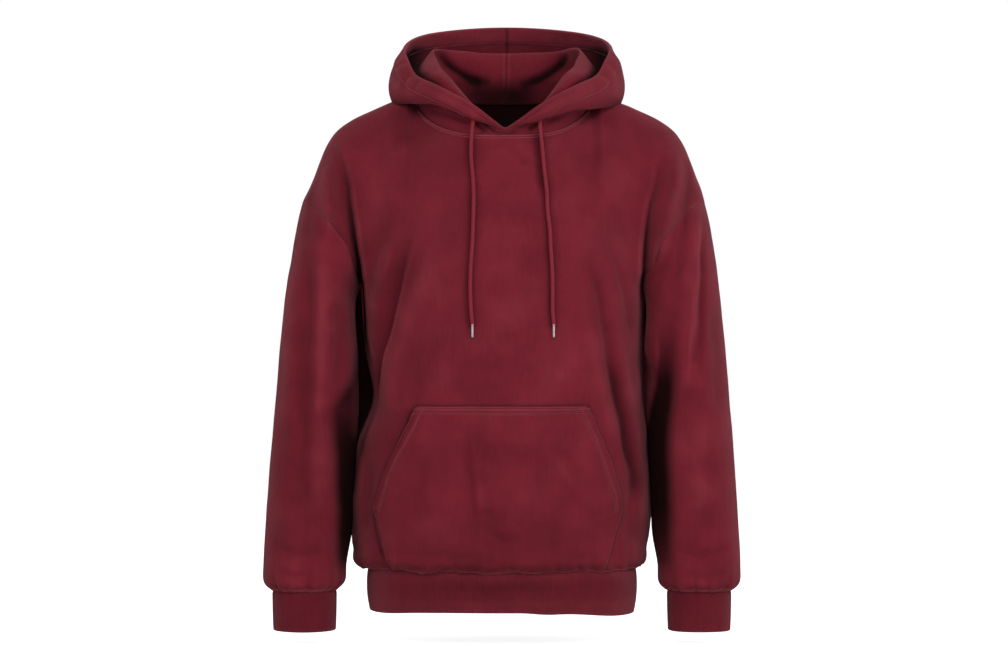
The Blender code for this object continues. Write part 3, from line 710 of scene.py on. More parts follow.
back_folds = (
    (((-216, -70), (-206, -120), (-198, -175), (-190, -235)), 11, 15, 6, 9),
    (((214, -68), (204, -118), (197, -172), (190, -235)), 11, 15, 6, 9),
    (((-80, -260), (-105, -340), (-140, -440), (-165, -540)), 16, 18, 4, 5),
    (((75, -290), (100, -370), (132, -460), (160, -560)), 15, 18, 4, 5),
    (((-30, -380), (-45, -470), (-70, -570)), 15, 17, 2.5, 3),
    (((28, -420), (48, -500), (66, -590)), 14, 16, 2.5, 2.5),
    (((-110, -230), (-138, -320), (-170, -410)), 13, 14, -2.5, -3),
    (((105, -250), (135, -340), (168, -430)), 13, 14, -2.5, -3),
    (((-120, -50), (-60, -85), (10, -92), (80, -80)), 15, 15, 1.6, 1.4),
    (((-150, -110), (-60, -160), (40, -165), (130, -125)), 20, 20, 1.8, 1.6),
)
gap_shade = {  # how dark the back panel is where it shows between body and sleeve, by level
    -1: ((-235, 0), (-265, 1), (-520, 1), (-580, 0)),
    1: ((-235, 0), (-260, 0.9), (-300, 0.7), (-317.5, 0.3), (-350, 0.1), (-385, 0.15), (-418, 0.35),
        (-450, 0.9), (-520, 1), (-580, 0)),
}
side_pinch = (  # which side in X, level, how far it draws in, half its height, in mm
    (-1, -400, 15.5, 46), (-1, -470, -2, 40), (1, -345, 0.5, 60), (1, -470, -3, 60),
)
lit_spots = ((152, -195, 0.16), (-80, -172, 0.13))  # X, Z and how pale: painted highlight on lit places of the chest
print("folds on the front:", len(front_folds), " on the back:", len(back_folds))

# %% [markdown]
# The pocket and the cords lie on the front and shade it, so their places are needed here already. The hem seam
# gathers fuller cloth into the rib band, which makes small uneven puckers.

# %% Cord and pocket places, and gathered seams
cord_places = {  # X and Z down each drawcord, from where it comes out to its end
    "right": ((-40, -24), (-42, -40), (-43.5, -68.8), (-40, -120.6), (-40.9, -184.4),
              (-44.1, -249.5), (-42.4, -292), (-41.2, -303)),
    "left": ((48.6, -26), (49.8, -45.4), (52.4, -71.9), (54.7, -98.5), (57.7, -125),
             (58.8, -151.5), (61.7, -178), (63, -204.6), (64.7, -231.1), (65.3, -257.6),
             (65.3, -284.2), (66.8, -303)),
}
pocket_levels = metres((  # level, half width, shift in X, stand-off in mm at the middle and at the side
    (-635, 145, -8, 2.3, 2.3), (-628, 147, -8, 3.6, 2.6), (-610, 151, -8, 6, 3),
    (-562, 164, -7, 8.5, 2.8), (-550, 164, -6.5, 8.8, 6), (-510, 150.5, -5, 8.8, 12.5),
    (-465, 134, -3.5, 8, 11.5), (-423, 119, -2, 4.6, 5), (-411, 115, -2, 2.3, 2.3),
))
hem_lift = 3.4 * MM


def gathers(distance, run, seed, pitch, deep, reach):
    """Small uneven puckers along a seam that holds in fuller cloth."""
    dice = np.random.default_rng(seed)
    wave = sum(np.sin(run * 2 * math.pi / (pitch * k) + dice.uniform(0, 6.28)) * w
               for k, w in ((1.0, 0.55), (1.55, 0.6), (2.7, 0.7), (0.62, 0.25)))
    return deep * wave * fade(distance, reach) * ease(distance / (4 * MM))


def seam_crest(distance, at, wide=0.9):
    """A narrow line along a seam, this many mm in from the edge."""
    return hump(distance - at * MM, wide * MM)


def hem_wave(x, face):
    """The hem seam isn't level: it is a little high all round and dips where the cloth is fuller."""
    return hem_lift + (1.2 * np.sin(x * 75 + face) + 0.8 * np.sin(x * 133 + 2.1 * face)) * MM


def arm_push(grid):
    """How far the arm folds push this cloth back, and their lip for a painted highlight, the same on both sides of
    the armhole seam.
    """
    push, lip_highlight = fold_press(flat_places(grid), arm_folds), 0.0
    for side, table in arm_laps.items():
        drop, crest_highlight = lap(grid[:, :, 0], grid[:, :, 2], side, table, 4.5)
        push, lip_highlight = push + drop, lip_highlight + crest_highlight
    ahead = ease((0.010 - grid[:, :, 1]) / 0.030)
    return push * ahead, lip_highlight * ahead


def shoulder_lean(grid):
    """The wearer's shoulders aren't quite level: both lean a little to the wearer's left."""
    x, level = grid[:, :, 0], grid[:, :, 2]
    return np.where(x > 0, 3.4, 1.4) * MM * ease((np.abs(x) - 0.140) / 0.030) * ease((level + 0.142) / 0.030)


# %% Body panels
neck_count, side_count = 45, 58  # columns of half a panel under the neckline and out to the side


def body_shade(grid):
    """Painted shade on the front: in its folds, the cords' shadows, round the pocket, and the lap at the side."""
    x, level = grid[:, :, 0], grid[:, :, 2]
    flat = flat_places(grid).reshape(-1, 2)
    drop, crest_highlight = lap(x, level, -1, side_lap, 5.0)
    shade = np.clip(drop / (12 * MM), 0, 1) * 0.42
    for places in cord_places.values():
        away, _ = from_line(flat, metres(places) - [0.8 * MM, 0])
        shade += 0.50 * hump(away, 6.8 * MM).reshape(x.shape)
    shade += strokes(grid, front_shadows)
    edge = [(shift - wide, z) for z, wide, shift, _, _ in pocket_levels]
    edge += [(shift + wide, z) for z, wide, shift, _, _ in pocket_levels[::-1]]
    away, _ = from_line(flat, np.array(edge))
    beside = ease((level + 0.630) / 0.02) * (1 - 0.75 * ease((level + 0.420) / 0.01))
    return shade + 0.70 * fade(away.reshape(x.shape), 2.5 * MM) * beside, drop, crest_highlight


def body_panel(front):
    neck = np.linspace(0, neck_share, neck_count)
    side = np.linspace(neck_share, 1, side_count)[1:]
    levels = np.concatenate([np.linspace(-0.638, -0.600, 20)[:-1], np.linspace(-0.600, -0.248, 88)])
    half = half_panel(front, np.concatenate([neck, side]), levels, np.linspace(0, 1, 76))
    grid = np.concatenate([half[:, :0:-1] * [-1, 1, 1], half], axis=1)
    out = normals_of(grid) * (1.0 if front else -1.0)
    left, right, bottom, top = edge_distances(grid)
    sides = np.minimum(left, right)
    flat = flat_places(grid)

    # folds, waviness and gathers press the cloth in; the arm folds and laps push it straight back
    press = fold_press(flat, front_folds if front else back_folds)
    press *= ease(sides / (14 * MM)) * ease(bottom / (22 * MM)) * ease(top / (26 * MM))
    press -= (waviness(grid, 0.055, 1.0 * MM, 3 if front else 4) + waviness(grid, 0.018, 0.22 * MM, 5)) \
        * ease(np.minimum(sides, top) / (20 * MM))
    press += gathers(bottom, grid[:, :, 0], 11 if front else 12, 17 * MM, 1.7 * MM, 17 * MM)
    # painted shade in the fold bottoms, and where the arm folds and laps push the cloth back
    shade = np.clip(press / (24 * MM), 0, 0.25)
    press += 0.12 * MM * hump(sides, 2 * MM)
    push, lip_highlight = arm_push(grid) if front else (0 * press, 0 * press)
    shade += np.clip(push / (17 * MM), 0, 1) ** 1.3
    if front:
        dark, drop, crest_highlight = body_shade(grid)
        shade, press, lip_highlight = shade + dark, press + drop, lip_highlight + crest_highlight
    grid = grid - out * press[:, :, None]
    grid[:, :, 1] += push
    grid[:, :, 0] += shoulder_lean(grid)
    grid[:, :, 2] += hem_wave(grid[:, :, 0], 0 if front else 2) * hump(bottom, 26 * MM)

    # the sides draw in at places and the body leans a little (x is a view, so changing it moves the grid)
    x, level = grid[:, :, 0], grid[:, :, 2]
    share = np.abs(np.linspace(-1, 1, grid.shape[1]))
    for turn, at, draw, tall in side_pinch:
        weight = hump(level - at * MM, tall * MM) * ease((share - 0.45) / 0.5)[None, :]
        x -= turn * draw * MM * weight * (x * turn > 0)
    x[:len(levels)] += through(body_levels[:, 0], body_levels[:, 5:6], levels)
    if not front:
        for side, table in gap_shade.items():
            table = np.array(table)[::-1]
            shade += ease((share - 0.82) / 0.07)[None, :] * (side * x > 0) \
                * np.interp(level / MM, table[:, 0], table[:, 1])

    # pale: rubbed along the seams and the neck's two rows of stitches; painted highlight on the shoulder tops,
    # fold tops, the laps' edges, a lit strip under the wearer's left arm and lit spots on the chest
    rubbed_and_lit = 0.5 * fade(sides, 1.6 * MM) + 0.7 * fade(bottom, 2.2 * MM) + 0.5 * seam_crest(bottom, 3.0)
    rubbed_and_lit += np.where((share < 0.46)[None, :], 0.6 * (seam_crest(top, 2.6) + seam_crest(top, 6.4)),
                     0.85 * fade(top, 9 * MM))
    rubbed_and_lit += np.clip(-(press + push) / (9 * MM), 0, 0.3) + 0.45 * lip_highlight
    lit_strip = (x > 0) * ease((-0.285 - level) / 0.03) * ease((level + 0.440) / 0.03)
    rubbed_and_lit += lit_strip * (0.6 * ease((share - 0.90) / 0.06) if front else 1.0 * ease((share - 0.80) / 0.08))[None, :]
    if front:
        for *spot, strength in lit_spots:
            rubbed_and_lit += strength * hump(np.linalg.norm(flat - metres(spot), axis=2), 26 * MM)
    return grid, rubbed_and_lit, shade


front, front_rubbed_and_lit, front_shade = body_panel(True)
back, back_rubbed_and_lit, back_shade = body_panel(False)
front_out, back_out = normals_of(front), -normals_of(back)
front_piece = sew_sheet("fleece_front", front, fleece, FLEECE, rubbed_and_lit=front_rubbed_and_lit,
                        deep=front_shade, inside=fleece_inside_shaded)
back_piece = sew_sheet("fleece_back", back, fleece, FLEECE, flip=True, rubbed_and_lit=back_rubbed_and_lit,
                       deep=back_shade, inside=fleece_inside_shaded)
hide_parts("front_panel")
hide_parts("back_panel")

# %% [markdown]
# ## The sleeves
# A drop-shoulder sleeve is a tapered tube that starts on the armhole's own line and hangs almost straight. Its
# rings go from the armhole's shape to a plain oval, then to the small ring where the cuff gathers it. The cloth
# hangs over the cuff a little, which is what the last rings do.

# %% Sizes of the sleeves
sleeve_rings = (  # outer edge X and Z, inner edge X and Z, half depth, middle in Y, share of the armhole's shape
    (274, -134, 198.5, -248, 76, 14, 1), (281, -162, 204.5, -264, 77, 11, 0.7),
    (287.5, -198, 205.5, -283, 76.5, 6, 0.4), (293.5, -242, 203.5, -309, 75.5, 0, 0.15),
    (299.2, -293, 200.5, -340, 74, -5, 0), (305.2, -350, 199.5, -377, 72, -10, 0),
    (310.5, -410, 199, -422, 70, -14, 0), (315.8, -470, 202, -473, 67.5, -18, 0),
    (320.2, -530, 205.5, -530, 65, -21, 0), (324, -585, 207.8, -584, 62, -24, 0),
    (326.2, -628, 214.8, -627, 58, -26, 0), (325.8, -652.5, 216.5, -652, 54, -27, 0),
    (315, -664, 229, -664, 44.5, -27, 0),
)
left_sleeve_lean = -0.0045
sleeve_folds = {
    -1: (
        (((-264, -190), (-262, -230), (-263, -300), (-268, -400), (-272, -500), (-270, -585)),
         10, 14, 5, 5.5),
        (((-248, -180), (-246, -260), (-247, -360), (-250, -460)), 9, 9, -3.2, -3.2),
        (((-224, -262), (-221, -330), (-222, -400)), 8, 9, 4.5, 4),
        (((-288, -210), (-292, -290), (-296, -380)), 10, 12, -2, -2),
        (((-300, -430), (-292, -500), (-284, -560)), 14, 14, 3, 3),
        (((-262, -455), (-256, -520), (-258, -590)), 12, 12, -2, -2),
        (((-312, -594), (-290, -608), (-262, -613), (-240, -606)), 7, 7, 2.6, 2.2),
        (((-306, -632), (-280, -641), (-250, -637)), 5, 6, 1.8, 1.8),
    ),
    1: (
        (((264, -150), (262, -200), (259, -262), (255, -345)), 9, 10, -3, -2.6),
        (((274, -150), (269, -185), (266.5, -250), (263, -310), (259, -370)), 5, 6, 4.5, 4.5),
        (((238, -215), (236, -260), (231, -320), (227, -380), (222, -440)), 9, 9, 4, 5),
        (((240, -215), (236, -280), (232, -350)), 8, 9, -2.8, -2.8),
        (((286, -270), (290, -350), (288, -440)), 11, 12, 3.4, 3.4),
        (((266, -420), (262, -500), (266, -580)), 13, 13, -2.4, -2.4),
        (((306, -598), (284, -611), (258, -615), (234, -605)), 7, 7, 2.4, 2.6),
        (((300, -636), (270, -643), (244, -636)), 5, 6, 1.8, 1.8),
    ),
}
turned_in = {  # where the lit front of the sleeve ends and its inner side turns away: level, X and how dark its painted shade is
    -1: ((-255, 198, 0), (-290, 198, 0.5), (-320, 198.5, 1), (-361, 202, 1), (-385, 211, 0.9),
         (-418, 231.5, 0.7), (-452, 230, 0.95), (-486, 228, 1), (-519, 228, 1), (-553, 225.5, 1),
         (-587, 226.5, 1), (-620, 226.5, 0.9), (-648, 224, 0.2)),
    1: ((-270, 230, 0), (-317.5, 230.7, 0.35), (-351, 227, 0.72), (-385, 227.5, 0.95),
        (-418, 226.2, 1), (-452, 226, 1), (-486, 225, 1), (-519, 227, 1), (-553, 227.5, 1),
        (-587, 228, 0.9), (-620, 227, 0.6), (-648, 226, 0)),
}
lit_edge = metres(((-452, 195.7), (-418, 201.1), (-385, 207.8), (-351, 210.5)))  # level and X, nearest the body
sleeve_shadows = {
    -1: ((((-274, -280), (-274, -440)), 7, 0.17), (((-256, -430), (-256, -580)), 12, 0.18),
         right_arm_shadow),
    1: ((((269, -175), (270, -250), (269, -310), (265.5, -385)), 5, 0.24), arm_shadow),
}
rear_sleeve_folds = (
    (((262, -180), (256, -260), (254, -350)), 10, 11, 4, 4),
    (((236, -240), (230, -320), (228, -400)), 9, 11, 3, 3),
    (((284, -250), (290, -340), (288, -430)), 12, 12, -2.2, -2.2),
    (((300, -400), (276, -440), (246, -452)), 11, 12, 3.4, 3),
    (((246, -480), (270, -520), (300, -536)), 12, 12, 2.6, 2.4),
    (((304, -598), (276, -612), (244, -606)), 9, 9, 2.6, 2.4),
)
print("rings that a sleeve is drawn with:", len(sleeve_rings))


# %% A sleeve
def turns(count):
    """Directions round a tube."""
    return np.arange(count) / count * 2 * np.pi


def sleeve_tube(side, turn, rings=150):
    """The plain tube, from the armhole's own shape to the small ring at the cuff."""
    shares = np.linspace(0, 1, len(turn) // 2 + 1)
    hole = np.concatenate([along(front_armhole[::-1], shares)[:-1], along(back_armhole, shares)[:-1]])
    table = np.array(sleeve_rings) / ([1000] * 6 + [1])
    sizes = through(np.arange(len(table)), table, np.linspace(0, len(table) - 1, rings))
    grid = []
    for out_x, out_z, in_x, in_z, deep, middle, _ in sizes:
        ring = np.array([(out_x + in_x) / 2, middle, (out_z + in_z) / 2]) \
            + np.cos(turn)[:, None] * np.array([(out_x - in_x) / 2, 0.0, (out_z - in_z) / 2])
        ring[:, 1] -= deep * np.sin(turn)
        grid.append(ring)
    own = hole - grid[0]
    grid = np.array([ring + own * row[6] for ring, row in zip(grid, sizes)])
    grid[0] += (grid[1] - grid[0]) * 0.12
    if side > 0:  # this arm hangs nearer the body, and its front laps over the body's side
        x, level, top = grid[:, :, 0], grid[:, :, 2], grid[0, :, 2].max()
        x += left_sleeve_lean * ease((level - top) / (-0.664 - top))
        over = ease((-0.215 - level) / 0.03) * ease((level + 0.385) / 0.05)
        x -= 15 * MM * over * ease((np.sin(turn) - 0.1) / 0.5) * ease((0.240 - x) / 0.03)
    return grid * [side, 1, 1]


def inner_side(grid, side):
    """Painted shade on the side of the sleeve that turns away to the body."""
    x, level = np.abs(grid[:, :, 0]), grid[:, :, 2]
    levels = np.array(turned_in[side])[::-1] / (1000, 1000, 1)
    lit_from, dark = (np.interp(level, levels[:, 0], levels[:, k]) for k in (1, 2))
    inner = ease((lit_from + 0.007 - x) / 0.016) * dark * ease((0.010 - grid[:, :, 1]) / 0.02)
    if side > 0:
        near = np.interp(level, lit_edge[:, 0], lit_edge[:, 1])
        return inner * (1 - 0.75 * ease((near + 3 * MM - x) / (8 * MM)) * ease((level + 0.475) / 0.02))
    low = ease((-0.355 - level) / 0.03) * ease((level + 0.465) / 0.02)
    inner *= 1 - 0.35 * ease((0.212 - x) / (10 * MM)) * low
    beyond = ease((-0.355 - level) / 0.05) * ease((level + 0.640) / 0.03)
    return inner + 0.17 * ease((lit_from + 0.026 - x) / 0.030) * (1 - inner) * beyond


def sleeve(side):
    turn = turns(144)
    grid = sleeve_tube(side, turn)
    out = normals_of(grid, loop=True) * side
    _, _, first, last = edge_distances(grid)
    flat = flat_places(grid)
    ahead = ease((np.sin(turn) + 0.15) / 0.4)[None, :]
    behind = ease((0.15 - np.sin(turn)) / 0.4)[None, :]
    rear = tuple((tuple((x * side, z) for x, z in line), *rest) for line, *rest in rear_sleeve_folds)
    press = fold_press(flat, sleeve_folds[side]) * ahead + fold_press(flat, rear) * behind
    press *= ease(first / (16 * MM)) * ease(last / (6 * MM))
    press -= (waviness(grid, 0.05, 1.0 * MM, 6 + side) + waviness(grid, 0.018, 0.22 * MM, 9)) \
        * ease(first / (20 * MM)) * ease(last / (20 * MM)) * (0.15 + 0.85 * np.sin(turn)[None, :] ** 2)
    press += gathers(last, turn[None, :] * 0.055 + 0 * first, 21 + side, 16 * MM, 1.9 * MM, 17 * MM)
    # painted shade: fold bottoms, creases, behind the arm folds, and the side turned to the body
    shade = np.clip(press / (24 * MM), 0, 0.25)
    press += 0.12 * MM * hump(first, 2 * MM) + 0.5 * MM * seam_crest(last, 3.8, 1.5)
    push, lip_highlight = arm_push(grid)
    inner = inner_side(grid, side)
    shade += strokes(grid, sleeve_shadows[side]) * ahead
    shade += np.clip(push / (17 * MM), 0, 1) ** 1.3 + inner
    grid = grid - out * press[:, :, None]
    grid[:, :, 1] += push + 10 * MM * inner
    grid[:, :, 0] += shoulder_lean(grid)
    # pale: rubbed along the seams and the cuff's stitch rows; painted highlight on fold tops and the laps' edges
    rubbed_and_lit = 0.35 * fade(first, 1.6 * MM) + np.clip(-(press + push) / (9 * MM), 0, 0.3) + 0.45 * lip_highlight
    rubbed_and_lit += 0.2 * fade(last, 1.4 * MM) + 0.5 * (seam_crest(last, 2.0) + seam_crest(last, 5.4))
    return grid, rubbed_and_lit, shade


sides = (("left", 1), ("right", -1))
sleeves = {}
for word, side in sides:
    tube, rubbed_and_lit, shade = sleeve(side)
    piece = sew_sheet("sleeve_fleece_" + word, tube, fleece, FLEECE, loop=True,
                      flip=side < 0, rubbed_and_lit=rubbed_and_lit, deep=shade)
    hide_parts("sleeve_" + word)
    sleeves[word] = (piece, tube)

# %% [markdown]
# ## Cuffs and hem band
# Both are folded bands of rib knit. The fold makes the lower edge round, so the wall thins out to nothing there
# over its last two millimetres. Rib never lies quite flat once it is sewn to fuller cloth, so each band has a few
# shallow upright dents, no two the same.

# %% Rib bands
def rib_band(name, middle, half_x, half_y, levels, square, count, dents, seed, is_hem=False):
    """A tube of rib: half_x and half_y are given at the levels' top, upper part, lower part and bottom."""
    turn = turns(count)
    cos = np.sign(np.cos(turn)) * np.abs(np.cos(turn)) ** (2 / square)
    sin = np.sign(np.sin(turn)) * np.abs(np.sin(turn)) ** (2 / square)
    top, bottom = levels
    shares = np.concatenate([np.linspace(0, 0.955, 24), (0.967, 0.978, 0.987, 0.994, 0.998, 1.0)])
    sizes = through((0, 0.3, 0.75, 1), np.stack([half_x, half_y], axis=1), shares)
    grid = np.array([np.stack([middle[0] + w * cos, middle[1] - d * sin, np.full(count, top + (bottom - top) * s)],
                              axis=1) for s, (w, d) in zip(shares, sizes)])
    out = normals_of(grid, loop=True)
    dice = np.random.default_rng(seed)
    press = np.zeros((len(shares), count))
    for _ in range(dents):
        at, wide = dice.uniform(0, 2 * np.pi), dice.uniform(0.6, 1.4) * 0.9 / dents ** 0.5 * 0.5
        deep = dice.uniform(-0.8, 1.5) * MM
        off = np.abs((turn - at + np.pi) % (2 * np.pi) - np.pi)
        press += deep * ease(1.15 - shares * dice.uniform(0.3, 1.2))[:, None] * hump(off, wide)[None, :]
    first, last = (far[:, :-1] for far in edge_distances(closed_up(grid))[2:])
    press += 1.5 * MM * hump(first, 2.4 * MM)
    grid = grid - out * press[:, :, None]
    x, level, down = grid[:, :, 0], grid[:, :, 2], shares[:, None]
    level += waviness(grid, 0.09, 0.5 * MM, seed + 1) * ease(first / (20 * MM))
    level += 1.6 * MM * hump(first, 3 * MM)
    share = np.sqrt(np.clip(1 - np.clip(1 - last / (1.4 * MM), 0, 0.97) ** 2, 0, 1))
    rubbed_and_lit = 0.35 * fade(last, 2.2 * MM)
    # painted shade just under the seam
    shade = 0.10 * hump(first, 10 * MM)
    if is_hem:  # it sags at both sides, more on the wearer's left, and its seam follows the body's wavy foot
        level -= 4 * MM * ease((np.abs(x) - 0.07) / 0.09) * down ** 2
        level -= 2.4 * MM * ease((x - 0.02) / 0.05) * down ** 2
        level += hem_wave(x, np.where(grid[:, :, 1] < middle[1], 0, 2)) * (1 - down)
        # pale: the rubbed seam, and painted highlight at the band's ends and its lower part
        rubbed_and_lit += 0.4 * fade(first, 5 * MM) + 0.3 * ease((np.abs(x) - 0.130) / 0.04)
        rubbed_and_lit += 0.2 * ease((first - 30 * MM) / (10 * MM))
        # painted shadow in a band below the seam at the front, where the body overhangs
        shade = 0.30 * seam_crest(first, 17, 8) * hump(x, 0.12)
    return sew_sheet(name, grid, rib, RIB, loop=True, rubbed_and_lit=rubbed_and_lit, share=share, deep=shade)


for word, side in sides:
    lean = left_sleeve_lean if side > 0 else 0.0
    rib_band("cuff_rib_" + word, ((0.2708 + lean) * side, -0.027),
                           metres((42.6, 42.4, 41.8, 41.2)), metres((42.8, 42.0, 41.4, 40.8)),
                           (-0.6648, -0.7190), 2.2, 160, 7, 31 + side)
    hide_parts("cuff_" + word)

_, _, hem_ahead, hem_behind, _, hem_shift, _ = body_levels[0]
hem_piece = rib_band("hem_rib", (hem_shift, (hem_behind - hem_ahead) / 2), metres((182.2, 183.5, 182.2, 179.4)),
                     (hem_ahead + hem_behind) / 2 + metres((-0.3, 0.8, -0.6, -2.8)),
                     (-0.6386, -0.6892), body_square, 400, 16, 41, is_hem=True)
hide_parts("hem_band")

# %% [markdown]
# ## The hood, lying down
# A resting hood is one sheet that goes up from the neck seam, folds over, drops behind into a pouch and comes up
# again to the rim, where the drawcord's casing makes it stiff. For each direction round the neck, a row of nine
# places says how that section runs. It shrinks to nothing at the throat, where the two halves cross. The band
# sags a little on each side of the throat, so it has a table of its own.

# %% Sections of the hood
hood_sections = (
    # bearing, then reach and level of: inner wall, fold's two edges, wall behind, pouch twice, outer wall, the
    # casing's crest and the rim
    (0, 89.6, -44.6, 91, -43, 91.7, -42.2, 92.2, -41.6,
     92.7, -41, 93.1, -40.5, 93.6, -40, 94, -39.6, 94.2, -39.2),
    (8, 90, -42.5, 91.5, -38.8, 92.8, -37.2, 93.8, -36.4,
     94.7, -35.8, 95.7, -35, 96.8, -33.5, 97.4, -32, 97.6, -30.8),
    (25, 95, -30, 96.2, -14.5, 100.5, -12.5, 102.8, -17,
     105.2, -21.5, 110, -23.2, 114.5, -16, 113.2, -11, 110.8, -7.5),
    (50, 106.5, 0, 104.5, 33.5, 114, 30, 118, 12,
     121.5, -3, 128.5, -6, 135, 5, 133, 15, 127.5, 20.5),
    (65, 110, 14, 101, 46, 116.5, 38.5, 122.2, 18,
     129, 0.5, 140.5, -4, 145.5, 4.5, 138.5, 30, 133.5, 33.5),
    (80, 113, 27, 98, 57, 117.2, 44, 125.5, 23,
     136, 5, 151.5, -1, 154.8, 6, 140.2, 54, 135, 55.6),
    (110, 116.5, 42, 106.5, 76, 113.8, 66.5, 128, 28,
     143, 4, 156, -2, 159.2, 10, 147.7, 78.5, 145.8, 85.5),
    (145, 100, 40, 111, 77, 124, 73.5, 138, 10,
     150, -52, 168, -56, 178, 30, 169, 94, 164.5, 109.2),
    (180, 88, 40, 106, 75.5, 118, 72.5, 138, -10,
     152, -86, 175, -90, 187, 20, 178, 96, 172, 118.8),
)
band_sag = {  # how much lower the band sits on each side of the throat, in mm, by bearing
    1: ((6, 25, 45, 58, 80, 105), (0, 4.5, 8.0, 8.5, 3.5, 0)),
    -1: ((6, 25, 35, 50, 80), (0, 3.5, 3.0, 1.0, 0)),
}
casing = 22 * MM
hood_creases = (  # seen from inside, a valley runs from each corner of the fold down to the middle
    (((-93, 78), (-82, 64), (-53.8, 43.7), (-25, 30)), 6, 7, -6, -3.5),
    (((93, 78), (83, 64), (58, 43.7), (29, 30)), 6, 7, -6, -3.5),
    (((-101, -11), (-85, -18), (-65, -24), (-44, -33)), 3, 4, 2.6, 2.6),
    (((-44, -17), (-30, -28), (-18, -40)), 3, 4, 2.2, 2.2),
    (((96, -12), (76, -21), (56, -29)), 3, 4, 2.2, 2.2),
    (((-60, 70), (-30, 60), (-8, 48)), 7, 8, 2, 2),
    (((64, 70), (33, 60), (10, 48)), 7, 8, 2, 2),
)
hood_shadows = (  # the same two valleys as deep shade: a line, its half width in mm and how dark
    (((93, 68), (79, 56.3), (58, 45.1), (37, 35.4), (16, 28.5)), 8, 0.46),
    (((-90, 68), (-68, 53), (-48, 43.7), (-27.2, 36.7), (-14, 32)), 7, 0.38),
)
hood_pleat_shade = (  # painted shade of short pleats where the two halves cross, between the cords
    (((-45, -27), (-34, -36.5), (-20, -47)), 3.2, 0.62),
    (((-26, -33), (-18, -39), (-8, -44)), 2.6, 0.45),
    (((32, -43), (40, -37), (52, -31)), 3.4, 0.62),
    (((56, -33), (68, -29), (80, -24)), 3, 0.4),
)
casing_puckers = {  # across the casing at the corners: distance round the neck and distance in from the rim
    -1: (
        (((150, 2), (156, 12), (158, 26)), 3, 4, 1.8, 2.2),
        (((176, 4), (180, 16), (176, 30)), 4, 4, 2.2, 2),
        (((200, 1), (206, 10), (214, 20)), 3, 4, 1.6, 1.8),
        (((232, 4), (228, 14), (236, 26)), 4, 5, 2.4, 2.2),
        (((262, 2), (268, 14), (264, 24)), 4, 4, 1.8, 1.6),
        (((296, 4), (300, 16)), 4, 4, 1.2, 1.2),
        (((190, 30), (215, 36), (240, 34)), 5, 5, 3, 3),
    ),
    1: (
        (((146, 4), (150, 14), (146, 28)), 3, 4, 1.6, 2),
        (((170, 2), (178, 12), (182, 26)), 3, 4, 2, 2.2),
        (((204, 4), (202, 16), (210, 30)), 4, 4, 2.6, 2.4),
        (((226, 2), (234, 12), (238, 22)), 3, 4, 1.8, 1.8),
        (((252, 4), (250, 16), (258, 28)), 4, 5, 2.2, 2),
        (((284, 2), (290, 14)), 4, 4, 1.4, 1.2),
        (((196, 34), (222, 30), (246, 36)), 5, 5, 3.2, 2.8),
    ),
}
print("directions that the hood is drawn in:", len(hood_sections))


# %% The bare shape of a hood half
def hood_columns(side, over, bearings):
    """A column of points for each bearing round the neck, from the neck seam to the rim."""
    table = np.array(hood_sections, float)
    beyond = np.array([1] + [0] * 18)  # rows before 0 and after 180 degrees mirror the ones inside
    mirror, turn_back = 1 - 2 * beyond, 360 * beyond
    table = np.concatenate([table[2:0:-1] * mirror, table, table[-2:-4:-1] * mirror + turn_back])
    edges = through(table[:, 0], metres(table[:, 1:]), bearings).reshape(len(bearings), 9, 2)
    shares = np.linspace(0, 1, 90)
    line = np.concatenate([along(front_neck, shares), along(back_neck[::-1], shares)[1:]])
    angle = np.degrees(np.arctan2(line[:, 0], -line[:, 1]))
    neck_r = np.interp(np.abs(bearings), angle, np.hypot(line[:, 0], line[:, 1])) - 2.2 * MM
    neck_z = np.interp(np.abs(bearings), angle, line[:, 2]) - 1.2 * MM
    edges = np.concatenate([np.stack([neck_r, neck_z], axis=1)[:, None, :], edges], axis=1)
    edges[:, :, 0] += (ease((22 - bearings) / 16) * (3.2 * MM if over else -1.2 * MM))[:, None]
    edges[:, 5:8, 1] -= (np.interp(bearings, *band_sag[side]) * MM)[:, None]
    columns = []
    for bearing, section in zip(bearings, edges):
        knots = run_along(section)
        at = np.concatenate([[0.0]] + [knots[k] + (knots[k + 1] - knots[k]) * np.arange(1, n + 1) / n
                                       for k, n in enumerate((16, 14, 8, 14, 14, 8, 14, 14, 18))])
        tail = min(3 * MM, 0.1 * knots[-1])
        at = at[at < knots[-1] - tail]
        at = np.interp(np.linspace(0, 1, 112), np.linspace(0, 1, len(at)), at)
        at = np.concatenate([at, knots[-1] - tail * np.array((0.85, 0.65, 0.45, 0.28, 0.14, 0.05, 0.0))])
        shape, turn = through(knots, section, at), np.radians(bearing)
        columns.append(np.stack([shape[:, 0] * np.sin(turn), -shape[:, 0] * np.cos(turn), shape[:, 1]], axis=1))
    grid = np.stack(columns, axis=1)
    grid[:, -1, 0] = 0.0
    return grid * [side, 1, 1]
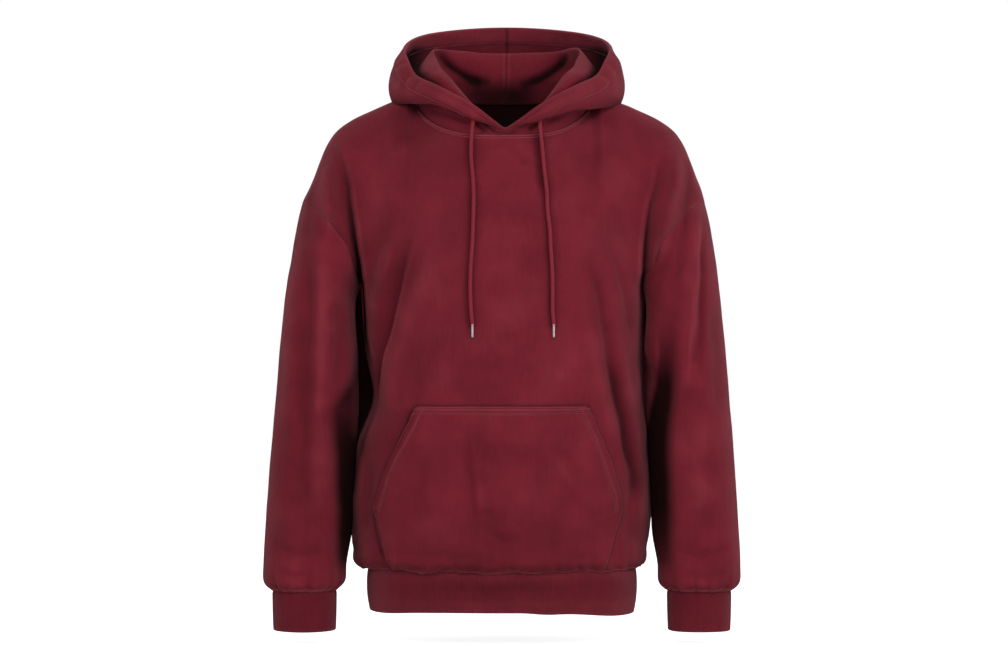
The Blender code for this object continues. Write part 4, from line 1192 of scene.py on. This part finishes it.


# %% [markdown]
# Along a column the rows run in a fixed order, so the row's number says which part of the hood a place is in:
# up to 30 the inner wall, about 32 the crest of the fold, 34 to 70 the gap behind it, and from 64 on the wall
# that comes up to the rim. The painted shade and the pale places below are written by those parts.

# %% A hood half
def hood_half(side, over):
    bearings = np.concatenate([np.linspace(-6.0 if over else -1.5, 24, 26)[:-1], np.linspace(24, 180, 84)])
    grid = hood_columns(side, over, bearings)
    row = np.arange(len(grid))[:, None]
    inner = ease((30 - row) / 5.0)

    # the whole hood lies a little to the wearer's left, and that half is fuller (x is a view of the grid)
    x, level = grid[:, :, 0], grid[:, :, 2]
    to_left = 4 * MM * ease((level + 0.060) / 0.04) * ease(row / 12.0)
    x += to_left
    if side > 0:
        x += 4 * MM * hump(bearings - 112, 22)[None, :] * ease((level - 0.025) / 0.03) * ease((row - 78) / 8.0)

    # creases inside, soft gathers in the band and puckers across the casing
    out = normals_of(grid) * side
    left, right, start, rim = edge_distances(grid)
    press = -waviness(grid, 0.045, 0.7 * MM, 50 + side)
    press *= ease(rim / (6 * MM)) * ease(start / (10 * MM)) * ease(right / (12 * MM))
    press += 0.5 * MM * hump(right, 1.8 * MM)
    press += fold_press(flat_places(grid), hood_creases) * inner
    full = (0.35 + 0.65 * hump(bearings - 82, 34))[None, :]
    press += 0.8 * MM * full * gathers(0.0, left, 71 + side, 13 * MM, 1.0, 1.0) \
        * hump(rim - 10 * MM, 9 * MM) * ease(right / (15 * MM))
    turned = np.stack([np.radians(bearings)[None, :] * 0.15 + 0 * rim, rim], axis=2)
    press += 1.35 * fold_press(turned, casing_puckers[side])
    grid = grid - out * press[:, :, None]
    grid[:, -1, 0] = to_left[:, -1] + side * 0.02 * MM

    # the casing is two layers thick, with a stitched groove under it, and the rim is round
    case = np.minimum(casing, 0.72 * start[-1:])
    hem = ease((case + 0.8 * MM - rim) / (1.6 * MM)) * (0.30 + 0.70 * ease((bearings + 2) / 26))[None, :]
    groove = hump(rim - case, 1.3 * MM)
    share = (0.34 + 0.60 * hem) * (1 - 0.35 * groove)
    share *= np.sqrt(np.clip(1 - np.clip(1 - rim / (2.7 * MM), 0, 0.98) ** 2, 0, 1))
    # pale: rubbed along the rim, the casing's groove, the neck seam and the back seam; paler too along the casing at
    # the back and on the band in front
    rubbed_and_lit = 0.45 * fade(rim, 2.0 * MM) + 0.35 * groove + 0.25 * fade(start, 1.6 * MM)
    rubbed_and_lit += 0.3 * hump(right - 3 * MM, 1.2 * MM)
    rubbed_and_lit += 0.30 * ease((bearings - 120) / 25)[None, :] * hump(rim, 24 * MM)
    rubbed_and_lit += 0.22 * ease((row - 84) / 4.0) * hump(bearings - 38, 24)[None, :]

    # painted shade inside: down in the gap behind the fold, low on the wall, and in the throat
    level = grid[:, :, 2]
    corner = hump(bearings - 114, 24)[None, :]
    gap = ease((row - 34 + 4 * corner) / 6.0) * ease((70 - row) / 4.0) \
        * ease((level[32:33] - (6 - 5 * corner) * MM - level) / ((14 - 6 * corner) * MM))
    side_on = ease((150 - bearings) / 30)[None, :]
    wall = ease((row - 64) / 4.0) * ease((rim - (16 - 9 * side_on) * MM) / (10 * MM)) * (0.30 + 0.70 * side_on)
    inside = np.maximum(gap, wall) * ease((bearings - 30) / 30)[None, :]
    inside += inner * (0.94 * ease((0.052 - level) / 0.036) * ease((bearings - 78) / 40)[None, :]
                       + np.clip(-press / (7 * MM), 0, 0.60)
                       + 0.45 * ease((start - 4 * MM) / (9 * MM)) * ease((68 - bearings) / 20)[None, :]
                       + strokes(grid, hood_shadows))
    inside *= 1 - 0.35 * inner * hump(np.abs(grid[:, :, 0]) - 0.056, 0.016) * ease((0.034 - level) / 0.01)
    inside += 0.35 * groove + 0.16 * fade(right, 0.7 * MM)

    # painted shade outside: the back seam, the groove, under the band, and the pleats at the throat
    under = ease((row - 58) / 4.0) * ease((0.009 - level) / 0.010) * hump(bearings - 86, 22)[None, :]
    shade = 0.25 * fade(right, 0.5 * MM) + 0.35 * groove + 0.5 * under
    shade += strokes(grid, hood_pleat_shade) * ease((62 - bearings) / 12.0)[None, :]
    return grid, share, rubbed_and_lit, shade, inside


hoods = {}
for word, side in sides[::-1]:
    grid, share, rubbed_and_lit, shade, inside = hood_half(side, word == "right")
    piece = sew_sheet("hood_fleece_" + word, grid, fleece, 6.0 * MM, flip=side < 0,
                      rubbed_and_lit=rubbed_and_lit, share=share, deep=shade, inside=hood_lining, deep_inside=inside)
    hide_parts("hood_" + word)
    hoods[word] = (piece, grid)

# %% [markdown]
# ## The kangaroo pocket
# The pocket is a flat patch sewn to the front along its top, its lower sides and its bottom. The slanted upper
# sides stay open for the hands, so there the cloth stands off. We lift the front panel's own surface by a table
# of stand-offs, which keeps the pocket lying on the body wherever it is sewn.

# %% The pocket
pocket_folds = (
    (((-50, -438), (-48, -490), (-43, -540), (-37, -602)), 6, 7, 2.8, 3.6),
    (((-40, -450), (-35, -505), (-29, -565)), 7, 7, -1.5, -1.7),
    (((-36, -440), (-33, -480), (-36, -530)), 13, 12, 1.5, 1.3),
    (((78, -467), (92, -490), (106, -510)), 6, 7, 2.4, 2.2),
    (((65, -476), (80, -500), (94, -522)), 7, 7, -1.4, -1.4),
    (((80, -520), (104, -545), (132, -566)), 7, 8, 2, 2),
    (((-30, -548), (-12, -562), (10, -553)), 6, 7, 1.6, 1.5),
    (((-22, -578), (4, -592), (24, -584)), 6, 7, 1.5, 1.4),
    (((10, -560), (30, -576), (54, -570)), 6, 7, 1.4, 1.3),
    (((62, -560), (68, -585), (64, -618)), 7, 8, 1.8, 2),
    (((-104, -470), (-112, -520), (-120, -575)), 10, 10, 1.8, 1.8),
    (((-34, -540), (-18, -575), (2, -610)), 13, 14, 2.6, 2.6),
    (((-20, -424), (10, -432), (50, -426)), 5, 5, 1.2, 1.2),
)


def on_front(x, level):
    """Points of the front panel at these X and one level, with normals, from its two nearest rows."""
    rows = front[:, front.shape[1] // 2, 2]
    k = int(np.clip(np.searchsorted(rows, level) - 1, 0, len(rows) - 2))
    t = (level - rows[k]) / (rows[k + 1] - rows[k])
    found = [[np.interp(x, front[r, :, 0], values[r, :, c]) for values in (front, front_out) for c in range(3)]
             for r in (k, k + 1)]
    both = np.array(found[0]) * (1 - t) + np.array(found[1]) * t
    return np.stack([x, both[1], np.full_like(x, level)], axis=1), both[3:].T


def pocket_sheet():
    levels = np.concatenate([np.linspace(-0.635, -0.628, 10)[:-1], np.linspace(-0.628, -0.424, 122)[:-1],
                             np.linspace(-0.424, -0.411, 16)])
    shares = np.concatenate([np.linspace(-1, -0.88, 25)[:-1], np.linspace(-0.88, 0.88, 108)[:-1],
                             np.linspace(0.88, 1, 25)])
    lift = through(pocket_levels[:, 0], pocket_levels[:, 3:5], levels)
    rows = []
    for level, (middle, edge) in zip(levels, lift):
        wide, shift = (np.interp(level, pocket_levels[:, 0], pocket_levels[:, k]) for k in (1, 2))
        spot, out = on_front(shift + wide * shares, level)
        rows.append(spot + out * (middle + (edge - middle) * np.abs(shares) ** 3)[:, None])
    grid = np.array(rows)
    x, out, flat = grid[:, :, 0], normals_of(grid), flat_places(grid)
    left, right, first, last = edge_distances(grid)
    side, ends = np.minimum(left, right), np.minimum(first, last)
    is_open = (ease((levels + 0.560) / 0.010) * ease((-0.420 - levels) / 0.010))[:, None]
    press = fold_press(flat, pocket_folds) * ease(side / (16 * MM)) * ease(ends / (12 * MM))
    press -= waviness(grid, 0.05, 0.6 * MM, 61) * ease(side / (12 * MM)) * ease(ends / (10 * MM))
    # painted shade in the fold bottoms
    shade = np.clip(press / (20 * MM), 0, 0.12)

    # the grooves of the stitch rows, and the puckers over the hem seam; painted shade in the grooves, along
    # the edges, inside the hand openings and in a hollow low in the middle
    sewn = sum(deep * MM * part * seam_crest(distance, at, 1.5) for distance, at, deep, part in (
        (last, 3.2, 0.7, 1), (last, 9.4, 1.1, 1), (first, 3.2, 0.9, 1),
        (side, 2.6, 0.7, is_open), (side, 14.5, 1.5, is_open), (side, 3.2, 1.1, 1 - is_open)))
    press += sewn + gathers(first, x, 63, 15 * MM, 1.5 * MM, 16 * MM) * ease(side / (10 * MM))
    shade += 0.42 * sewn / MM + 0.7 * fade(np.minimum(side, last), 1.7 * MM)
    shade += np.where(x < 0, 0.26, 0.08) * hump(side, 9 * MM) * is_open
    shade += 0.14 * hump(np.linalg.norm(flat - (-0.014, -0.578), axis=2), 30 * MM)
    grid = grid - out * press[:, :, None]
    grid[:, :, 2] += hem_wave(grid[:, :, 0], 0) * hump(first, 26 * MM)

    # turned-in edges are two layers thick and round, and their crests are rubbed pale; fold tops get a
    # painted highlight
    share = 0.62 + 0.36 * np.maximum(ease((15 * MM - side) / (1.5 * MM)) * is_open,
                                     ease((10 * MM - last) / (1.5 * MM)))
    rounding = np.minimum(np.minimum(side, ends) / (1.5 * MM), 1)
    share = share * np.sqrt(np.clip(1 - np.minimum(1 - rounding, 0.98) ** 2, 0, 1))
    rubbed_and_lit = sum(0.75 * pale * seam_crest(distance, at) for distance, at, pale in (
        (last, 1.4, 1), (last, 6.2, 1), (first, 1.4, 1), (last, 11.6, 0.6),
        (side, 1.0, is_open), (side, 12.6, is_open), (side, 16.6, 0.6 * is_open), (side, 1.4, 1 - is_open)))
    rubbed_and_lit += np.clip(-press / (8 * MM), 0, 0.3)
    return grid, share, rubbed_and_lit, shade


pocket, pocket_share, pocket_rubbed_and_lit, pocket_shade = pocket_sheet()
pocket_out = normals_of(pocket)
pocket_piece = sew_sheet("pocket_fleece", pocket, fleece, 3.2 * MM, rubbed_and_lit=pocket_rubbed_and_lit,
                         share=pocket_share, deep=pocket_shade)
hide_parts("pocket")

# %% [markdown]
# ## Topstitching
# Two rows run round the neck, along the pocket's top and its hand openings, and above each cuff. One row holds the
# rest of the pocket and sits above the hem band. One row holds down the hood's casing, seen from both sides.

# %% Sew the topstitching
half_neck = (neck_count - 1) / (2 * (neck_count + side_count - 2))  # of a whole panel's columns
neck_part = (0.5 - half_neck, 0.5 + half_neck)
front_stitches, back_stitches = (
    sew_stitches(name, seam_rows(grid, outward, "last", (2.6, 6.4), FLEECE, *neck_part)
                 + seam_rows(grid, outward, "first", (3,)))
    for name, grid, outward in (("stitches_front", front, front_out), ("stitches_back", back, back_out)))
for word, side in sides:
    tube = sleeves[word][1]
    rows = seam_rows(closed_up(tube), closed_up(normals_of(tube, loop=True) * side), "last", (2.0, 5.4))
    sew_stitches("stitches_sleeve_" + word, rows)


def between(lines, low, high):
    """The parts of these lines that lie between two levels."""
    kept = []
    for line, normal in lines:
        keep = (line[:, 2] > low) & (line[:, 2] < high)
        kept.append((line[keep], normal[keep]))
    return kept


folded, single = 3.1 * MM, 2.0 * MM  # thickness of the pocket's edge where it is turned in, and where it isn't
foot, opening_foot, sewn_top, opening_top = -1.0, -0.556, -0.554, -0.414  # levels down the pocket's sides
pocket_rows = seam_rows(pocket, pocket_out, "last", (3.2, 9.4), folded, 0.02, 0.98)
pocket_rows += seam_rows(pocket, pocket_out, "first", (3.2,), single, 0.02, 0.98)
for edge in ("left", "right"):
    pocket_rows += between(seam_rows(pocket, pocket_out, edge, (2.8, 14.5), folded), opening_foot, opening_top)
    pocket_rows += between(seam_rows(pocket, pocket_out, edge, (3.2,), single), foot, sewn_top)
pocket_stitches = sew_stitches("stitches_pocket", pocket_rows)

for word, side in sides[::-1]:
    grid = hoods[word][1]
    rows = [line for face in (side, -side)
            for line in seam_rows(grid, normals_of(grid) * face, "last", (casing / MM,), 3.6 * MM, 0.25, 1.0)]
    sew_stitches("stitches_hood_" + word, rows)

# %% [markdown]
# ## Drawcord and tips
# The drawcord is a round braid. Its two free ends come out from under the hood's band and hang on the chest,
# each with a pale metal tip pressed on. The braid is a tube whose surface rises and falls where its strands cross.

# %% Cord and tips
cord_radius = 2.8 * MM
hidden_above = -0.062  # over this level the cord runs straight up, under the hood's band
tip_profile = metres((  # distance down the tip and radius: a round lip at each end and a shallow waist
    (0, 1.90), (0.3, 2.16), (0.9, 2.24), (1.6, 2.14), (2.2, 1.94), (3.4, 1.90), (4.2, 1.98), (6, 2.02),
    (15.6, 2.02), (16.6, 2.00), (17.3, 1.90), (17.8, 1.70), (18, 1.40), (17.7, 1.15)))


def cord_line(places):
    points = []
    for x, level in along(metres(places), np.linspace(0, 1, 36)):
        base = min(level, hidden_above)
        spot, _ = on_front(np.array([x]), base)
        spot = spot[0] + (level - base) * np.array([0, 0.12, 1.0])
        points.append(spot + np.array([0, -(FLEECE / 2 + cord_radius + 0.4 * MM), 0]))
    return np.array(points)


def tube(name, grid, finish, slot):
    """A closed tube from rings of points, with a flat cap on each end."""
    rows, count = grid.shape[:2]
    faces = [(i * count + j, i * count + (j + 1) % count, (i + 1) * count + (j + 1) % count, (i + 1) * count + j)
             for i in range(rows - 1) for j in range(count)]
    faces += [tuple(range(count))[::-1], tuple(range((rows - 1) * count, rows * count))]
    piece = make_piece(name, grid.reshape(-1, 3).tolist(), faces, finish)
    piece.data.polygons.foreach_set("use_smooth", [True] * (len(faces) - 2) + [False] * 2)
    return piece


def braided(line, length, count=32, fine=640):
    """Rings round the line, raised where the two sets of strands cross."""
    line, run, turn = along(line, np.linspace(0, 1, fine)), np.linspace(0, length, fine)[:, None], turns(count)
    one, two = 4 * turn + run / (1.35 * MM), 4 * turn - run / (1.35 * MM)
    strands = np.maximum(np.abs(np.cos(one)) + 0.22 * np.sin(two), np.abs(np.cos(two)) - 0.22 * np.sin(one))
    radius = cord_radius - 0.55 * MM + 0.45 * MM * strands
    ahead = np.gradient(line, axis=0)
    ahead /= np.linalg.norm(ahead, axis=1)[:, None]
    across = np.cross(ahead, [0.0, 1.0, 0.0])
    across /= np.linalg.norm(across, axis=1)[:, None]
    away = np.cos(turn)[None, :, None] * across[:, None] \
        + np.sin(turn)[None, :, None] * np.cross(across, ahead)[:, None]
    return line[:, None] + away * radius[:, :, None]


def tip(name, end):
    """A metal sleeve pressed on the end of the braid."""
    turn = turns(40)
    ring = np.stack([np.cos(turn), np.sin(turn), 0 * turn], axis=1)
    grid = np.array([end - [0, 0, down] + 0.88 * radius * ring for down, radius in tip_profile])
    return tube(name, grid[::-1], tip_metal, "metal_tip")


for word, places in cord_places.items():
    line = cord_line(places)
    length = float(run_along(line)[-1])
    rope = tube("braid_" + word, braided(line, length), braid, "burgundy_cord")
    end = tip("tip_metal_" + word, line[-1] + np.array([0, 0, 0.2 * MM]))
    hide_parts("drawcord_" + word)
    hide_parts("cord_tip_" + word)
    print("cord", word, "length, m:", round(length, 4))

# %% [markdown]
# ## Neck label
# A bare woven tape sits just under the neck seam at the back, held down at its two ends.

# %% Label
label_low, label_high, half_label = -0.042, -0.018, 0.026


def label_sheet():
    rows, xs = [], np.linspace(-half_label, half_label, 53)
    for level in np.linspace(label_low, label_high, 25):
        r = int(np.argmin(np.abs(back[:, back.shape[1] // 2, 2] - level)))
        ys = np.interp(xs, back[r, :, 0], back[r, :, 1])
        up = math.sin(math.pi * (level - label_low) / (label_high - label_low))
        bow = 0.6 * MM * (1 - (xs / half_label) ** 2) * up
        rows.append(np.stack([xs, ys - 1.9 * MM - bow, np.full_like(xs, level)], axis=1))
    return np.array(rows)


label_piece = sew_sheet("label_tape", label_sheet(), label_tape, 0.8 * MM)
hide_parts("neck_label")
